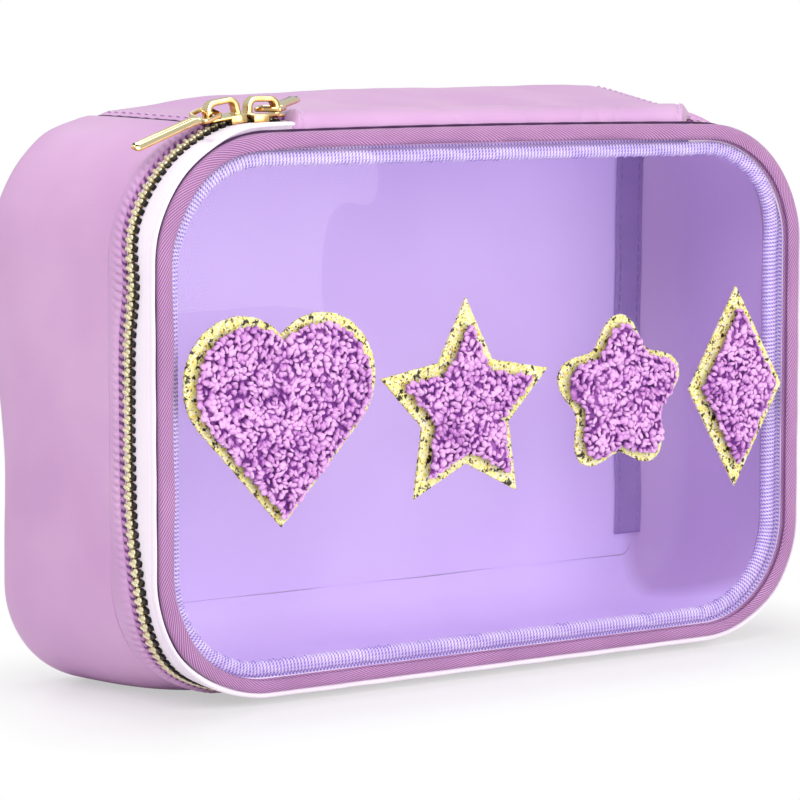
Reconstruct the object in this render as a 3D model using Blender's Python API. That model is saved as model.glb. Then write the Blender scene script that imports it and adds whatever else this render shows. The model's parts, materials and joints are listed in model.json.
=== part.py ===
"""Clear-fronted zip case for a set of game tiles, built from its sewn and metal pieces.

The case stands on its bottom wall. +X is to the right, +Y runs from the window to the back,
+Z is up, and the origin is the middle of the footprint, on the surface the case stands on.

The walls follow one rounded rectangle that widens and rises a little towards the back. A place
on them has three numbers: a station round the rectangle, a depth behind the lid's seam, and an
inset measured inwards from the outermost surface. The stations run from 0, at the middle of the
top, to the left, down, along the bottom and up the right side, to 9, at the middle of the top
again, one unit for each straight or corner.
"""
import math

import bmesh
import bpy
from mathutils import Matrix, Vector

# Case: outer sizes at the lid's seam, how much larger the back is, and where the top panel ends.
CASE_WIDTH = 0.222
CASE_HEIGHT = 0.1515
CASE_DEPTH = 0.067
CORNER_RADIUS = 0.036
BACK_SPREAD = 0.0066
BACK_RISE = 0.0068
BACK_TOP_RADIUS = 0.038
BACK_BOTTOM_RADIUS = 0.028
BACK_EDGE_ROUNDING = 0.006
PANEL_SEAM_ANGLE = math.radians(10.5)

# Clearances: between sewn or seated pieces, and for pieces that run past each other.
SEAT_GAP = 0.0003
RUNNING_GAP = 0.00035

# Sheet thicknesses.
LEATHER = 0.001
FOAM = 0.001
LINING = 0.0005
TAPE = 0.0006
WINDOW_SHEET = 0.0005
BINDING_CLOTH = 0.0006
BRAID = 0.0015
SEAM_STRIP = 0.0008

# Lid: widths measured inwards from the outermost surface of the case.
BINDING_INSET = 0.0022
BINDING_ROUNDING = 0.0008
BINDING_WIDTH = 0.0055
BINDING_BACK_WIDTH = 0.005
BRAID_INSET = 0.0054
BRAID_WIDTH = 0.0061
TAPE_INSET = 0.0011
TAPE_FLANGE_WIDTH = 0.0054

# Zipper: a metal chain of gauge five between two tapes.
CHAIN_DEPTH = 0.0102
TOOTH_PITCH = 0.00245
TOOTH_PLAY = 0.0007
TOOTH_HEIGHT = 0.002
TOOTH_OVERLAP = 0.0008
ROW_REACH = 0.0024
TOOTH_INSET = 0.0002
TRACK_RIGHT_MARGIN = 0.0398
TAPE_END_MARGIN = 0.0025
TAPE_SPLIT_GAP = 0.0008
STOP_LENGTH = 0.001
STOP_HALF_WIDTH = 0.0022

# Hem: the folded leather edge behind the chain.
HEM_WIDTH = 0.0042
HEM_CROWN = 0.0003
HEM_ROUNDING = 0.0006
HEM_INSET = 0.0012

# Hinge strip: the rolled leather over the top front edge, which lets the lid swing.
STRIP_CROWN = 0.0029
STRIP_EDGE_DROP = 0.0009
STRIP_BASE_INSET = 0.0014
HINGE_RISE = 0.0002

# Lining: its soft corner behind, and the two taped seams on the back wall.
LINING_INSET = 0.003
LINING_EDGE_ROUNDING = 0.014
LINING_SHARPENING = 0.0095
SEAM_STRIP_WIDTH = 0.010
SEAM_STRIP_SIDE_MARGIN = 0.0013
SEAM_STRIP_END_MARGIN = 0.0065

# Sliders, measured along the chain, across it and up from its outer face.
SLIDER_LENGTH = 0.0114
SLIDER_NARROW = 0.0068
SLIDER_WIDE = 0.0084
SLIDER_PLATE = 0.001
SLIDER_LIFT = 0.0011
SLIDER_FLANGE = 0.0008
SLIDER_FLANGE_REACH = 0.0003
SLIDER_CHAMFER = 0.0006
SLIDER_B_MARGIN = 0.0418
SLIDER_B_TRAVEL = 0.001
SLIDER_SPACING = 0.0006

# Bridges over the sliders, and the pulls that hang on them.
BRIDGE_LENGTH = 0.010
BRIDGE_HEIGHT = 0.0047
BRIDGE_WIDTH = 0.0026
BRIDGE_BAR = 0.0013
BRIDGE_ROUNDING = 0.002
PULL_LENGTH = 0.0262
PULL_WIDTH = 0.003
PULL_THICKNESS = 0.0012
PULL_END_CHAMFER = 0.0007
EYE_INNER_WIDTH = 0.006
EYE_RAIL = 0.0009
EYE_NEAR_RAIL = 0.0011
EYE_REACH = 0.0047
PULL_A_PIVOT_X = 0.0024
PULL_A_DROP = math.radians(11)
PULL_B_SWING = math.radians(40)
PULL_B_LIFT = math.radians(5)
PULL_B_LEG_DISTANCE = 0.00224
PULL_B_LEG_OFFSET = 0.00142

# Patches on the window: glitter backings with looped pile on them.
BACKING_SHEET = 0.0008
PILE_HEIGHT = 0.0032
PILE_SHOULDER = 0.0008
PATCH_BORDER_SHARE = 0.01743
PATCH_ROW_HEIGHT_SHARE = 0.492
HEART_WIDTH_SHARE = 0.293
STAR_WIDTH_SHARE = 0.274
FLOWER_WIDTH_SHARE = 0.231
DIAMOND_WIDTH_SHARE = 0.169
HEART_HEIGHT_SHARE = 0.93
HEART_LOBE_SHARE = 0.29
STAR_INNER_SHARE = 0.52
FLOWER_PETAL_SHARE = 0.17
DIAMOND_HEIGHT_SHARE = 1.65

# Smoothness of the curved stretches.
CORNER_STEPS = 8
EDGE_STEPS = 4
PETAL_STEPS = 8
LOBE_STEPS = 10

# Worked-out places.
WINDOW_BACK = -(BINDING_CLOTH + SEAT_GAP)
WINDOW_FACE = WINDOW_BACK - WINDOW_SHEET
BINDING_SLOT_FRONT = WINDOW_FACE - SEAT_GAP
BINDING_FACE = BINDING_SLOT_FRONT - BINDING_CLOTH
BACKING_BACK = WINDOW_FACE - SEAT_GAP
BACKING_FACE = BACKING_BACK - BACKING_SHEET
PILE_BACK = BACKING_FACE - SEAT_GAP
PILE_FACE = PILE_BACK - PILE_HEIGHT
SEAM_Y = -(CASE_DEPTH + PILE_FACE) / 2
HEM_FRONT = CHAIN_DEPTH + ROW_REACH + RUNNING_GAP
HEM_REAR = HEM_FRONT + HEM_WIDTH
GUSSET_FRONT = HEM_REAR + SEAT_GAP
SLIDER_B_X = -(CASE_WIDTH / 2 - SLIDER_B_MARGIN)
CHAIN_LEFT_X = SLIDER_B_X + SLIDER_LENGTH / 2 + SLIDER_B_TRAVEL / 2
TRACK_LEFT_X = CHAIN_LEFT_X + TAPE_END_MARGIN
TRACK_RIGHT_X = CASE_WIDTH / 2 - TRACK_RIGHT_MARGIN
CHAIN_RIGHT_X = TRACK_RIGHT_X + 2 * TAPE_END_MARGIN
SLIDER_RIM = SLIDER_LIFT + SLIDER_PLATE

CORNER_SECTIONS = (1, 3, 5, 7)
SECTION_COUNT = 9


def share_to_back(depth):
    """Share of the back's extra size at a depth: an S-curve from the seam to the back."""
    part = min(max(depth / CASE_DEPTH, 0), 1)
    return part * part * (3 - 2 * part)


def rim_sizes(depth):
    """Half width, height and the top and bottom corner radii of the outermost surface."""
    share = share_to_back(depth)
    half_width = CASE_WIDTH / 2 + BACK_SPREAD * share
    height = CASE_HEIGHT + BACK_RISE * share
    top_radius = CORNER_RADIUS + (BACK_TOP_RADIUS - CORNER_RADIUS) * share
    bottom_radius = CORNER_RADIUS + (BACK_BOTTOM_RADIUS - CORNER_RADIUS) * share
    return half_width, height, top_radius, bottom_radius


def rim_point(station, depth, inset=0, sharpening=0):
    """Point on the walls. What bulges below the floor is pressed flat on it."""
    half_width, height, top_radius, bottom_radius = rim_sizes(depth)
    half_width -= inset
    height -= inset
    top_radius -= inset + sharpening
    bottom_radius -= inset + sharpening * BACK_BOTTOM_RADIUS / BACK_TOP_RADIUS
    top_run = half_width - top_radius
    bottom_run = half_width - bottom_radius
    high, low = height - top_radius, inset + bottom_radius
    section = int(station) % SECTION_COUNT
    part = station - int(station)
    if section in CORNER_SECTIONS:
        centre_x, centre_z, radius = {
            1: (-top_run, high, top_radius), 3: (-bottom_run, low, bottom_radius),
            5: (bottom_run, low, bottom_radius), 7: (top_run, high, top_radius)}[section]
        angle = math.pi / 2 * (section + 1) / 2 + math.pi / 2 * part
        x = centre_x + radius * math.cos(angle)
        z = centre_z + radius * math.sin(angle)
    else:
        start, end = {
            0: ((0, height), (-top_run, height)),
            2: ((-half_width, high), (-half_width, low)),
            4: ((-bottom_run, inset), (bottom_run, inset)),
            6: ((half_width, low), (half_width, high)),
            8: ((top_run, height), (0, height))}[section]
        x = start[0] + (end[0] - start[0]) * part
        z = start[1] + (end[1] - start[1]) * part
    return Vector((x, SEAM_Y + depth, max(z, 0)))


def top_station(x, depth=CHAIN_DEPTH):
    """Station of a place on the top's straight stretch, from its x."""
    half_width, _, top_radius, _ = rim_sizes(depth)
    share = abs(x) / (half_width - top_radius)
    return share if x <= 0 else SECTION_COUNT - share


def corner_station(angle):
    """Station in the top left corner, from the angle turned since the top."""
    return 1 + angle / (math.pi / 2)


def stations_between(start, end):
    """Stations from start to end, close together in the corners and at each straight's ends."""
    result = [start]
    for section in range(int(start), int(end) + 1):
        steps = CORNER_STEPS if section % SECTION_COUNT in CORNER_SECTIONS else 1
        for step in range(steps):
            station = section + step / steps
            if start < station < end:
                result.append(station)
    return result + [end]


def section_lengths(depth):
    """Length of each of the nine sections at a depth."""
    half_width, height, top_radius, bottom_radius = rim_sizes(depth)
    top = half_width - top_radius
    side = height - top_radius - bottom_radius
    top_arc, bottom_arc = math.pi / 2 * top_radius, math.pi / 2 * bottom_radius
    bottom = 2 * (half_width - bottom_radius)
    return [top, top_arc, side, bottom_arc, bottom, bottom_arc, side, top_arc, top]


def station_at(length, depth=CHAIN_DEPTH):
    """Station at a length along the outermost surface, counted from station 0."""
    for section, section_length in enumerate(section_lengths(depth)):
        if length < section_length:
            return section + length / section_length
        length -= section_length
    return float(SECTION_COUNT)


def length_at(station, depth=CHAIN_DEPTH):
    """Length along the outermost surface at a station."""
    lengths = section_lengths(depth)
    section = int(station)
    return sum(lengths[:section]) + (station - section) * lengths[section % SECTION_COUNT]


def material(name, colour, roughness, metallic=0, alpha=1):
    """Principled material of one colour."""
    new = bpy.data.materials.new(name)
    new.use_nodes = True
    shader = new.node_tree.nodes["Principled BSDF"]
    shader.inputs["Base Color"].default_value = (*colour, 1)
    shader.inputs["Roughness"].default_value = roughness
    shader.inputs["Metallic"].default_value = metallic
    shader.inputs["Alpha"].default_value = alpha
    return new


def finish_object(name, mesh_builder, finish, smooth_angle=math.radians(35)):
    """Turn a bmesh into a named object with outward faces and its material."""
    bmesh.ops.recalc_face_normals(mesh_builder, faces=mesh_builder.faces)
    mesh = bpy.data.meshes.new(name)
    mesh_builder.to_mesh(mesh)
    mesh_builder.free()
    mesh.shade_smooth()
    mesh.set_sharp_from_angle(angle=smooth_angle)
    mesh.materials.append(finish)
    piece = bpy.data.objects.new(name, mesh)
    bpy.context.collection.objects.link(piece)
    return piece


def band(name, stations, profile, finish, closed=False):
    """Carry a closed profile of (depth, inset) or (depth, inset, sharpening) along stations."""
    builder = bmesh.new()
    rings = [[builder.verts.new(rim_point(station, *place)) for place in profile] for station in stations]
    count = len(profile)
    pairs = list(zip(rings, rings[1:]))
    if closed:
        pairs.append((rings[-1], rings[0]))
    for ring, following in pairs:
        for i in range(count):
            j = (i + 1) % count
            builder.faces.new((ring[i], ring[j], following[j], following[i]))
    if not closed:
        builder.faces.new(rings[0])
        builder.faces.new(rings[-1])
    return finish_object(name, builder, finish)


def full_loop():
    """Stations of the whole rectangle, without its last, which is its first again."""
    return stations_between(0, SECTION_COUNT)[:-1]


def panel(name, front, back, inset, finish, sharpening=0, size_depth=None):
    """Flat sheet that fills the rounded rectangle at an inset, between two depths."""
    builder = bmesh.new()
    size_depth = front if size_depth is None else size_depth
    loops = []
    for depth in (front, back):
        loop = []
        for station in full_loop():
            point = rim_point(station, size_depth, inset, sharpening)
            point.y = SEAM_Y + depth
            loop.append(builder.verts.new(point))
        loops.append(loop)
    near, far = loops
    for i in range(len(near)):
        j = (i + 1) % len(near)
        builder.faces.new((near[i], near[j], far[j], far[i]))
    builder.faces.new(near)
    builder.faces.new(far)
    return finish_object(name, builder, finish)


def wall_profile():
    """Profile of the leather walls: straight behind the hem, then round the back edge."""
    centre = CASE_DEPTH - BACK_EDGE_ROUNDING
    straight = [GUSSET_FRONT + (centre - GUSSET_FRONT) * step / EDGE_STEPS for step in range(EDGE_STEPS)]
    outer = [(depth, 0) for depth in straight]
    inner = [(depth, LEATHER) for depth in straight]
    for step in range(EDGE_STEPS + 1):
        angle = math.pi / 2 * step / EDGE_STEPS
        for side, radius in ((outer, BACK_EDGE_ROUNDING), (inner, BACK_EDGE_ROUNDING - LEATHER)):
            side.append((centre + radius * math.sin(angle), BACK_EDGE_ROUNDING - radius * math.cos(angle)))
    return outer + inner[::-1]


def walls(leather):
    """Gusset round the sides and bottom, top panel between its seams, and back panel."""
    seam = corner_station(PANEL_SEAM_ANGLE)
    gap = SEAT_GAP / (math.pi * CORNER_RADIUS)
    mirrored = SECTION_COUNT - seam
    band("gusset", stations_between(seam + gap, mirrored - gap), wall_profile(), leather)
    band("top_panel", stations_between(mirrored + gap, SECTION_COUNT + seam - gap), wall_profile(), leather)
    panel("back_panel", CASE_DEPTH - LEATHER, CASE_DEPTH, BACK_EDGE_ROUNDING + SEAT_GAP, leather)


def hem(leather):
    """Folded leather edge behind the chain, from the hinge strip's left end round to its right."""
    middle = HEM_FRONT + HEM_WIDTH / 2
    profile = [(HEM_FRONT, HEM_INSET), (HEM_FRONT, HEM_ROUNDING), (HEM_FRONT + HEM_ROUNDING, 0),
               (middle, -HEM_CROWN), (HEM_REAR - HEM_ROUNDING, 0), (HEM_REAR, HEM_ROUNDING),
               (HEM_REAR, HEM_INSET)]
    ends = (top_station(TRACK_LEFT_X), top_station(TRACK_RIGHT_X))
    band("gusset_hem", stations_between(*ends), profile, leather)


def stiffeners(foam):
    """Foam ring between the walls and the lining, and the foam board in the back."""
    front = GUSSET_FRONT + SEAT_GAP
    back = CASE_DEPTH - BACK_EDGE_ROUNDING
    near = LEATHER + SEAT_GAP
    far = near + FOAM
    middle = (front + back) / 2
    profile = [(front, near), (middle, near), (back, near), (back, far), (middle, far), (front, far)]
    band("gusset_stiffener", full_loop(), profile, foam, closed=True)
    board_back = CASE_DEPTH - LEATHER - SEAT_GAP
    panel("back_stiffener", board_back - FOAM, board_back, BACK_EDGE_ROUNDING + LEATHER, foam,
          size_depth=CASE_DEPTH)


def lining_plane():
    """Depth of the back lining's rear face."""
    return CASE_DEPTH - LEATHER - FOAM - 3 * SEAT_GAP


def linings(cloth, strip_cloth):
    """Lining round the walls with a soft rear corner, back lining, and its two taped seams."""
    rear = lining_plane()
    centre = rear - LINING_EDGE_ROUNDING
    near = LINING_INSET
    sides = ([(HEM_FRONT + TAPE, near, 0), (GUSSET_FRONT, near, 0)],
             [(HEM_FRONT + TAPE, near + LINING, 0), (GUSSET_FRONT, near + LINING, 0)])
    for step in range(EDGE_STEPS + 1):
        angle = math.pi / 2 * step / EDGE_STEPS
        for side, radius in zip(sides, (LINING_EDGE_ROUNDING, LINING_EDGE_ROUNDING - LINING)):
            side.append((centre + radius * math.sin(angle),
                         near + LINING_EDGE_ROUNDING - radius * math.cos(angle),
                         LINING_SHARPENING * step / EDGE_STEPS))
    band("gusset_lining", full_loop(), sides[0] + sides[1][::-1], cloth, closed=True)
    edge = near + LINING_EDGE_ROUNDING + SEAT_GAP
    panel("back_lining", rear - LINING, rear, edge, cloth, LINING_SHARPENING, size_depth=rear)
    strip_back = rear - LINING - SEAT_GAP
    half_width, height, _, _ = rim_sizes(rear)
    top = height - edge - SEAM_STRIP_END_MARGIN
    bottom = edge + SEAM_STRIP_END_MARGIN
    strip_x = half_width - edge - SEAM_STRIP_SIDE_MARGIN - SEAM_STRIP_WIDTH / 2
    for name, x in (("lining_seam_strip_left", -strip_x), ("lining_seam_strip_right", strip_x)):
        builder = bmesh.new()
        low = (x - SEAM_STRIP_WIDTH / 2, SEAM_Y + strip_back - SEAM_STRIP, bottom)
        high = (x + SEAM_STRIP_WIDTH / 2, SEAM_Y + strip_back, top)
        add_block(builder, low, high)
        finish_object(name, builder, strip_cloth)


def add_block(builder, low, high, place=None):
    """Add a block between two corners, moved by a matrix."""
    place = place or Matrix.Identity(4)
    corners = [builder.verts.new(place @ Vector((x, y, z)))
               for x in (low[0], high[0]) for y in (low[1], high[1]) for z in (low[2], high[2])]
    for face in ((0, 1, 3, 2), (4, 6, 7, 5), (0, 4, 5, 1), (2, 3, 7, 6), (0, 2, 6, 4), (1, 5, 7, 3)):
        builder.faces.new([corners[i] for i in face])


def chain_frame(station):
    """Matrix of a place on the chain: x along the track, y to the front, z outwards."""
    step = 1 / (CORNER_STEPS * SECTION_COUNT * SECTION_COUNT)
    centre = rim_point(station, CHAIN_DEPTH)
    along = (rim_point(station + step, CHAIN_DEPTH) - rim_point(station, CHAIN_DEPTH)).normalized()
    front = Vector((0, -1, 0))
    outwards = along.cross(front)
    frame = Matrix((along, front, outwards)).transposed().to_4x4()
    frame.translation = centre
    return frame


def tooth_row(name, first, count, side, metal):
    """Row of teeth on its bead, from its first valley. Side is 1 for the front row, -1 for the rear.

    The inner edge zigzags from valley to tip, and the other row's zigzag runs beside it.
    """
    outer = CHAIN_DEPTH - side * ROW_REACH
    tip = CHAIN_DEPTH + side * TOOTH_OVERLAP
    valley = CHAIN_DEPTH - side * (TOOTH_OVERLAP + TOOTH_PLAY)
    levels = (TOOTH_INSET, TOOTH_INSET + TOOTH_HEIGHT)
    builder = bmesh.new()
    posts = []
    for index in range(2 * count + 1):
        length = first + index * TOOTH_PITCH / 2
        if index == 0:
            length += SEAT_GAP / 2
        elif index == 2 * count:
            length -= SEAT_GAP / 2
        station = station_at(length)
        depths = (valley, outer) if index % 2 == 0 else (tip,)
        posts.append([[builder.verts.new(rim_point(station, depth, level)) for level in levels]
                      for depth in depths])
    for start in range(0, 2 * count, 2):
        (valley_a, outer_a), (crest,), (valley_b, outer_b) = posts[start:start + 3]
        for level in range(2):
            builder.faces.new((outer_a[level], valley_a[level], crest[level],
                               valley_b[level], outer_b[level]))
        for one, other in ((valley_a, crest), (crest, valley_b), (outer_b, outer_a)):
            builder.faces.new((one[0], other[0], other[1], one[1]))
    for valley_end, outer_end in (posts[0], posts[-1]):
        builder.faces.new((valley_end[0], valley_end[1], outer_end[1], outer_end[0]))
    return finish_object(name, builder, metal)


def zipper_stop(name, station, low_y, high_y, metal):
    """Clamped stop at an end of the chain."""
    builder = bmesh.new()
    add_block(builder, (-STOP_LENGTH / 2, low_y, -TOOTH_INSET - TOOTH_HEIGHT),
              (STOP_LENGTH / 2, high_y, -TOOTH_INSET), chain_frame(station))
    return finish_object(name, builder, metal)


def slider_a_station():
    """Station of the left slider, which lies next to the right one along the track."""
    return station_at(length_at(top_station(SLIDER_B_X)) + SLIDER_LENGTH + SLIDER_SPACING)


def zipper(tape_cloth, metal):
    """Two tapes, two rows of teeth and their stops. Returns the pieces that open with the lid."""
    start = length_at(top_station(CHAIN_LEFT_X)) + TOOTH_PITCH / 2
    end = length_at(top_station(CHAIN_RIGHT_X))
    count = int((end - start) / TOOTH_PITCH)
    fixed_length = length_at(slider_a_station()) + SLIDER_LENGTH / 2 + TAPE_END_MARGIN
    end_count = math.ceil((fixed_length - start) / TOOTH_PITCH)
    split_length = start + end_count * TOOTH_PITCH
    split = station_at(split_length)
    tooth_row("front_teeth_end", start, end_count, 1, metal)
    front_teeth = tooth_row("front_zipper_teeth", split_length, count - end_count, 1, metal)
    tooth_row("rear_zipper_teeth", start + TOOTH_PITCH / 2, count, -1, metal)

    tape_front = SEAT_GAP
    tape_rear = CHAIN_DEPTH - ROW_REACH - SEAT_GAP
    flange_end = TAPE_INSET + TAPE_FLANGE_WIDTH
    inner = TAPE_INSET + TAPE
    folded = [(tape_front, flange_end), (tape_front, inner), (tape_front + TAPE / 2, TAPE_INSET),
              (tape_rear, TAPE_INSET), (tape_rear, inner), (tape_front + TAPE, inner),
              (tape_front + TAPE, flange_end)]
    plain = [(tape_front, TAPE_INSET), (tape_rear, TAPE_INSET), (tape_rear, inner), (tape_front, inner)]
    fixed_end = station_at(split_length - TAPE_SPLIT_GAP)
    right_end = top_station(TRACK_RIGHT_X)
    front_tape = band("front_zipper_tape", stations_between(split, right_end), folded, tape_cloth)
    band("front_tape_end", stations_between(top_station(TRACK_LEFT_X), fixed_end), plain, tape_cloth)
    rear_near = HEM_INSET + SEAT_GAP
    rear = [(HEM_FRONT, rear_near), (HEM_REAR, rear_near),
            (HEM_REAR, rear_near + TAPE), (HEM_FRONT, rear_near + TAPE)]
    band("rear_zipper_tape", stations_between(top_station(TRACK_LEFT_X), right_end), rear, tape_cloth)

    left_station = top_station(CHAIN_LEFT_X)
    right_station = top_station(CHAIN_RIGHT_X - TOOTH_PITCH / 2 - STOP_LENGTH)
    half, play = STOP_HALF_WIDTH, RUNNING_GAP
    zipper_stop("zipper_stop_left", left_station, -half, half, metal)
    zipper_stop("zipper_stop_right_rear", right_station, -half, -play, metal)
    front_stop = zipper_stop("zipper_stop_right_front", right_station, play, half, metal)
    return [front_teeth, front_tape, front_stop]


def hinge_strip(leather):
    """Rolled strip over the top front edge, in two halves that meet on the hinge line."""
    start = top_station(TRACK_RIGHT_X - 2 * SEAT_GAP)
    end = SECTION_COUNT + top_station(TRACK_LEFT_X + 2 * SEAT_GAP)
    stations = stations_between(start, end)
    fold = CHAIN_DEPTH - SEAT_GAP / 2
    flange_end = TAPE_INSET + TAPE_FLANGE_WIDTH
    crown = STRIP_CROWN
    front = [(SEAT_GAP, flange_end), (SEAT_GAP, STRIP_EDGE_DROP)]
    for step in range(EDGE_STEPS + 1):
        turn = math.pi / 2 * step / EDGE_STEPS
        depth = SEAT_GAP + TAPE + (fold - SEAT_GAP - TAPE) * (1 - math.cos(turn))
        front.append((depth, -crown * math.sin(turn) + STRIP_EDGE_DROP / 2 * (1 - math.sin(turn))))
    front += [(fold, STRIP_BASE_INSET), (SEAT_GAP + TAPE, STRIP_BASE_INSET), (SEAT_GAP + TAPE, flange_end)]
    lid_half = band("hinge_strip_front", stations, front, leather)
    rear_fold = CHAIN_DEPTH + SEAT_GAP / 2
    rear = [(rear_fold, STRIP_BASE_INSET)]
    for step in range(EDGE_STEPS + 1):
        turn = math.pi / 2 * step / EDGE_STEPS
        depth = rear_fold + (HEM_REAR - rear_fold) * math.sin(turn)
        rear.append((depth, -crown * math.cos(turn)))
    rear.append((HEM_REAR, STRIP_BASE_INSET))
    band("hinge_strip_rear", stations, rear, leather)
    return lid_half


def lid_sheets(window_finish, binding_cloth, braid_cloth):
    """Window, the binding folded round its edge, and the braid over the seam inside."""
    window = panel("lid_window", WINDOW_FACE, WINDOW_BACK, BINDING_INSET + BINDING_CLOTH + SEAT_GAP,
                   window_finish, size_depth=0)
    near = BINDING_INSET + BINDING_CLOTH
    face_end = BINDING_INSET + BINDING_WIDTH
    rear_end = BINDING_INSET + BINDING_BACK_WIDTH
    soft = BINDING_ROUNDING
    fold = [(BINDING_FACE, face_end), (BINDING_FACE, BINDING_INSET + soft),
            (BINDING_FACE + soft, BINDING_INSET), (-soft, BINDING_INSET), (0, BINDING_INSET + soft),
            (0, rear_end), (-BINDING_CLOTH, rear_end), (-BINDING_CLOTH, near),
            (BINDING_SLOT_FRONT, near), (BINDING_SLOT_FRONT, face_end)]
    binding = band("lid_binding", full_loop(), fold, binding_cloth, closed=True)
    braid_front = SEAT_GAP + TAPE + SEAT_GAP
    braid_back = braid_front + BRAID
    braid_end = BRAID_INSET + BRAID_WIDTH
    rounding = BRAID / 3
    roll = [(braid_front, BRAID_INSET), (braid_back, BRAID_INSET), (braid_back, braid_end - rounding),
            (braid_back - rounding, braid_end), (braid_front + rounding, braid_end),
            (braid_front, braid_end - rounding)]
    braid = band("lid_inner_braid", full_loop(), roll, braid_cloth, closed=True)
    return [window, binding, braid]


def heart_outline(width, inset):
    """Heart of two round lobes and two straight sides, moved inwards by inset."""
    radius = width * HEART_LOBE_SHARE
    lobe_x = width / 2 - radius
    height = width * HEART_HEIGHT_SHARE
    lobe_z = height / 2 - radius
    drop = height / 2 + lobe_z
    reach = math.hypot(lobe_x, drop)
    half_tip = math.asin(radius / reach) + math.atan2(lobe_x, drop)
    radius -= inset
    notch = math.pi - math.acos(lobe_x / radius)
    last = -half_tip
    lobe = []
    for step in range(LOBE_STEPS + 1):
        angle = notch + (last - notch) * step / LOBE_STEPS
        lobe.append((lobe_x + radius * math.cos(angle), lobe_z + radius * math.sin(angle)))
    tip = (0, -height / 2 + inset / math.sin(half_tip))
    return lobe + [tip] + [(-x, z) for x, z in lobe[:0:-1]]


def star_outline(width, inset):
    """Five-pointed star, moved inwards by inset: outer and inner corners in turn."""
    radius = width / 2 / math.sin(math.radians(72))
    share = STAR_INNER_SHARE
    edge = radius * math.sqrt(1 + share * share - 2 * share * math.cos(math.radians(36)))
    edge_distance = radius * radius * share * math.sin(math.radians(36)) / edge
    scale = 1 - inset / edge_distance
    points = []
    for index in range(10):
        turn = math.pi * index / 5
        reach = radius * scale * (1 if index % 2 == 0 else share)
        points.append((reach * math.sin(turn), reach * math.cos(turn)))
    return points


def flower_outline(width, inset):
    """Five petals: a circle whose radius swells and shrinks five times round."""
    radius = width / 2 / (1 + FLOWER_PETAL_SHARE)
    count = 5 * PETAL_STEPS
    points = []
    for index in range(count):
        turn = 2 * math.pi * index / count
        reach = radius * (1 + FLOWER_PETAL_SHARE * math.cos(5 * turn)) - inset
        points.append((reach * math.sin(turn), reach * math.cos(turn)))
    return points


def diamond_outline(width, inset):
    """Upright diamond, moved inwards by inset."""
    half_width, half_height = width / 2, width / 2 * DIAMOND_HEIGHT_SHARE
    scale = 1 - inset * math.hypot(half_width, half_height) / (half_width * half_height)
    x, z = half_width * scale, half_height * scale
    return [(0, z), (x, 0), (0, -z), (-x, 0)]


def plate_from_loops(name, loops, centre_x, finish):
    """Solid through outlines of equal counts; each loop is (depth, points)."""
    builder = bmesh.new()
    row_z = CASE_HEIGHT * PATCH_ROW_HEIGHT_SHARE
    rings = [[builder.verts.new((centre_x + x, SEAM_Y + depth, row_z + z)) for x, z in points]
             for depth, points in loops]
    for ring, following in zip(rings, rings[1:]):
        for i in range(len(ring)):
            j = (i + 1) % len(ring)
            builder.faces.new((ring[i], ring[j], following[j], following[i]))
    builder.faces.new(rings[0])
    builder.faces.new(rings[-1])
    return finish_object(name, builder, finish)


def patches(glitter, pile):
    """Four patches in a row across the window: a glitter backing and a raised pile for each."""
    outlines = {"heart": (heart_outline, HEART_WIDTH_SHARE), "star": (star_outline, STAR_WIDTH_SHARE),
                "flower": (flower_outline, FLOWER_WIDTH_SHARE),
                "diamond": (diamond_outline, DIAMOND_WIDTH_SHARE)}
    window_width = CASE_WIDTH - 2 * (BINDING_INSET + BINDING_WIDTH)
    free_share = 1 - HEART_WIDTH_SHARE - STAR_WIDTH_SHARE - FLOWER_WIDTH_SHARE - DIAMOND_WIDTH_SHARE
    gap = window_width * free_share / (len(outlines) + 1)
    border = window_width * PATCH_BORDER_SHARE
    left = -window_width / 2
    pieces = []
    for name, (outline, share) in outlines.items():
        width = window_width * share
        centre_x = left + gap + width / 2
        left += gap + width
        backing, base, crown = (outline(width, inset)
                                for inset in (0, border, border + PILE_SHOULDER))
        pieces.append(plate_from_loops(f"{name}_backing", [(BACKING_FACE, backing), (BACKING_BACK, backing)],
                                       centre_x, glitter))
        pieces.append(plate_from_loops(f"{name}_pile", [(PILE_FACE, crown), (PILE_FACE + PILE_SHOULDER, base),
                                                        (PILE_BACK, base)], centre_x, pile))
    return pieces


def extrude_outline(builder, outline, low, high, place, across="z"):
    """Prism of an outline in the local x and y (or x and z) plane, moved by a matrix."""
    loops = []
    for level in (low, high):
        if across == "z":
            corners = [(x, y, level) for x, y in outline]
        else:
            corners = [(x, level, y) for x, y in outline]
        loops.append([builder.verts.new(place @ Vector(corner)) for corner in corners])
    near, far = loops
    for i in range(len(near)):
        j = (i + 1) % len(near)
        builder.faces.new((near[i], near[j], far[j], far[i]))
    builder.faces.new(near)
    builder.faces.new(far)


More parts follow.
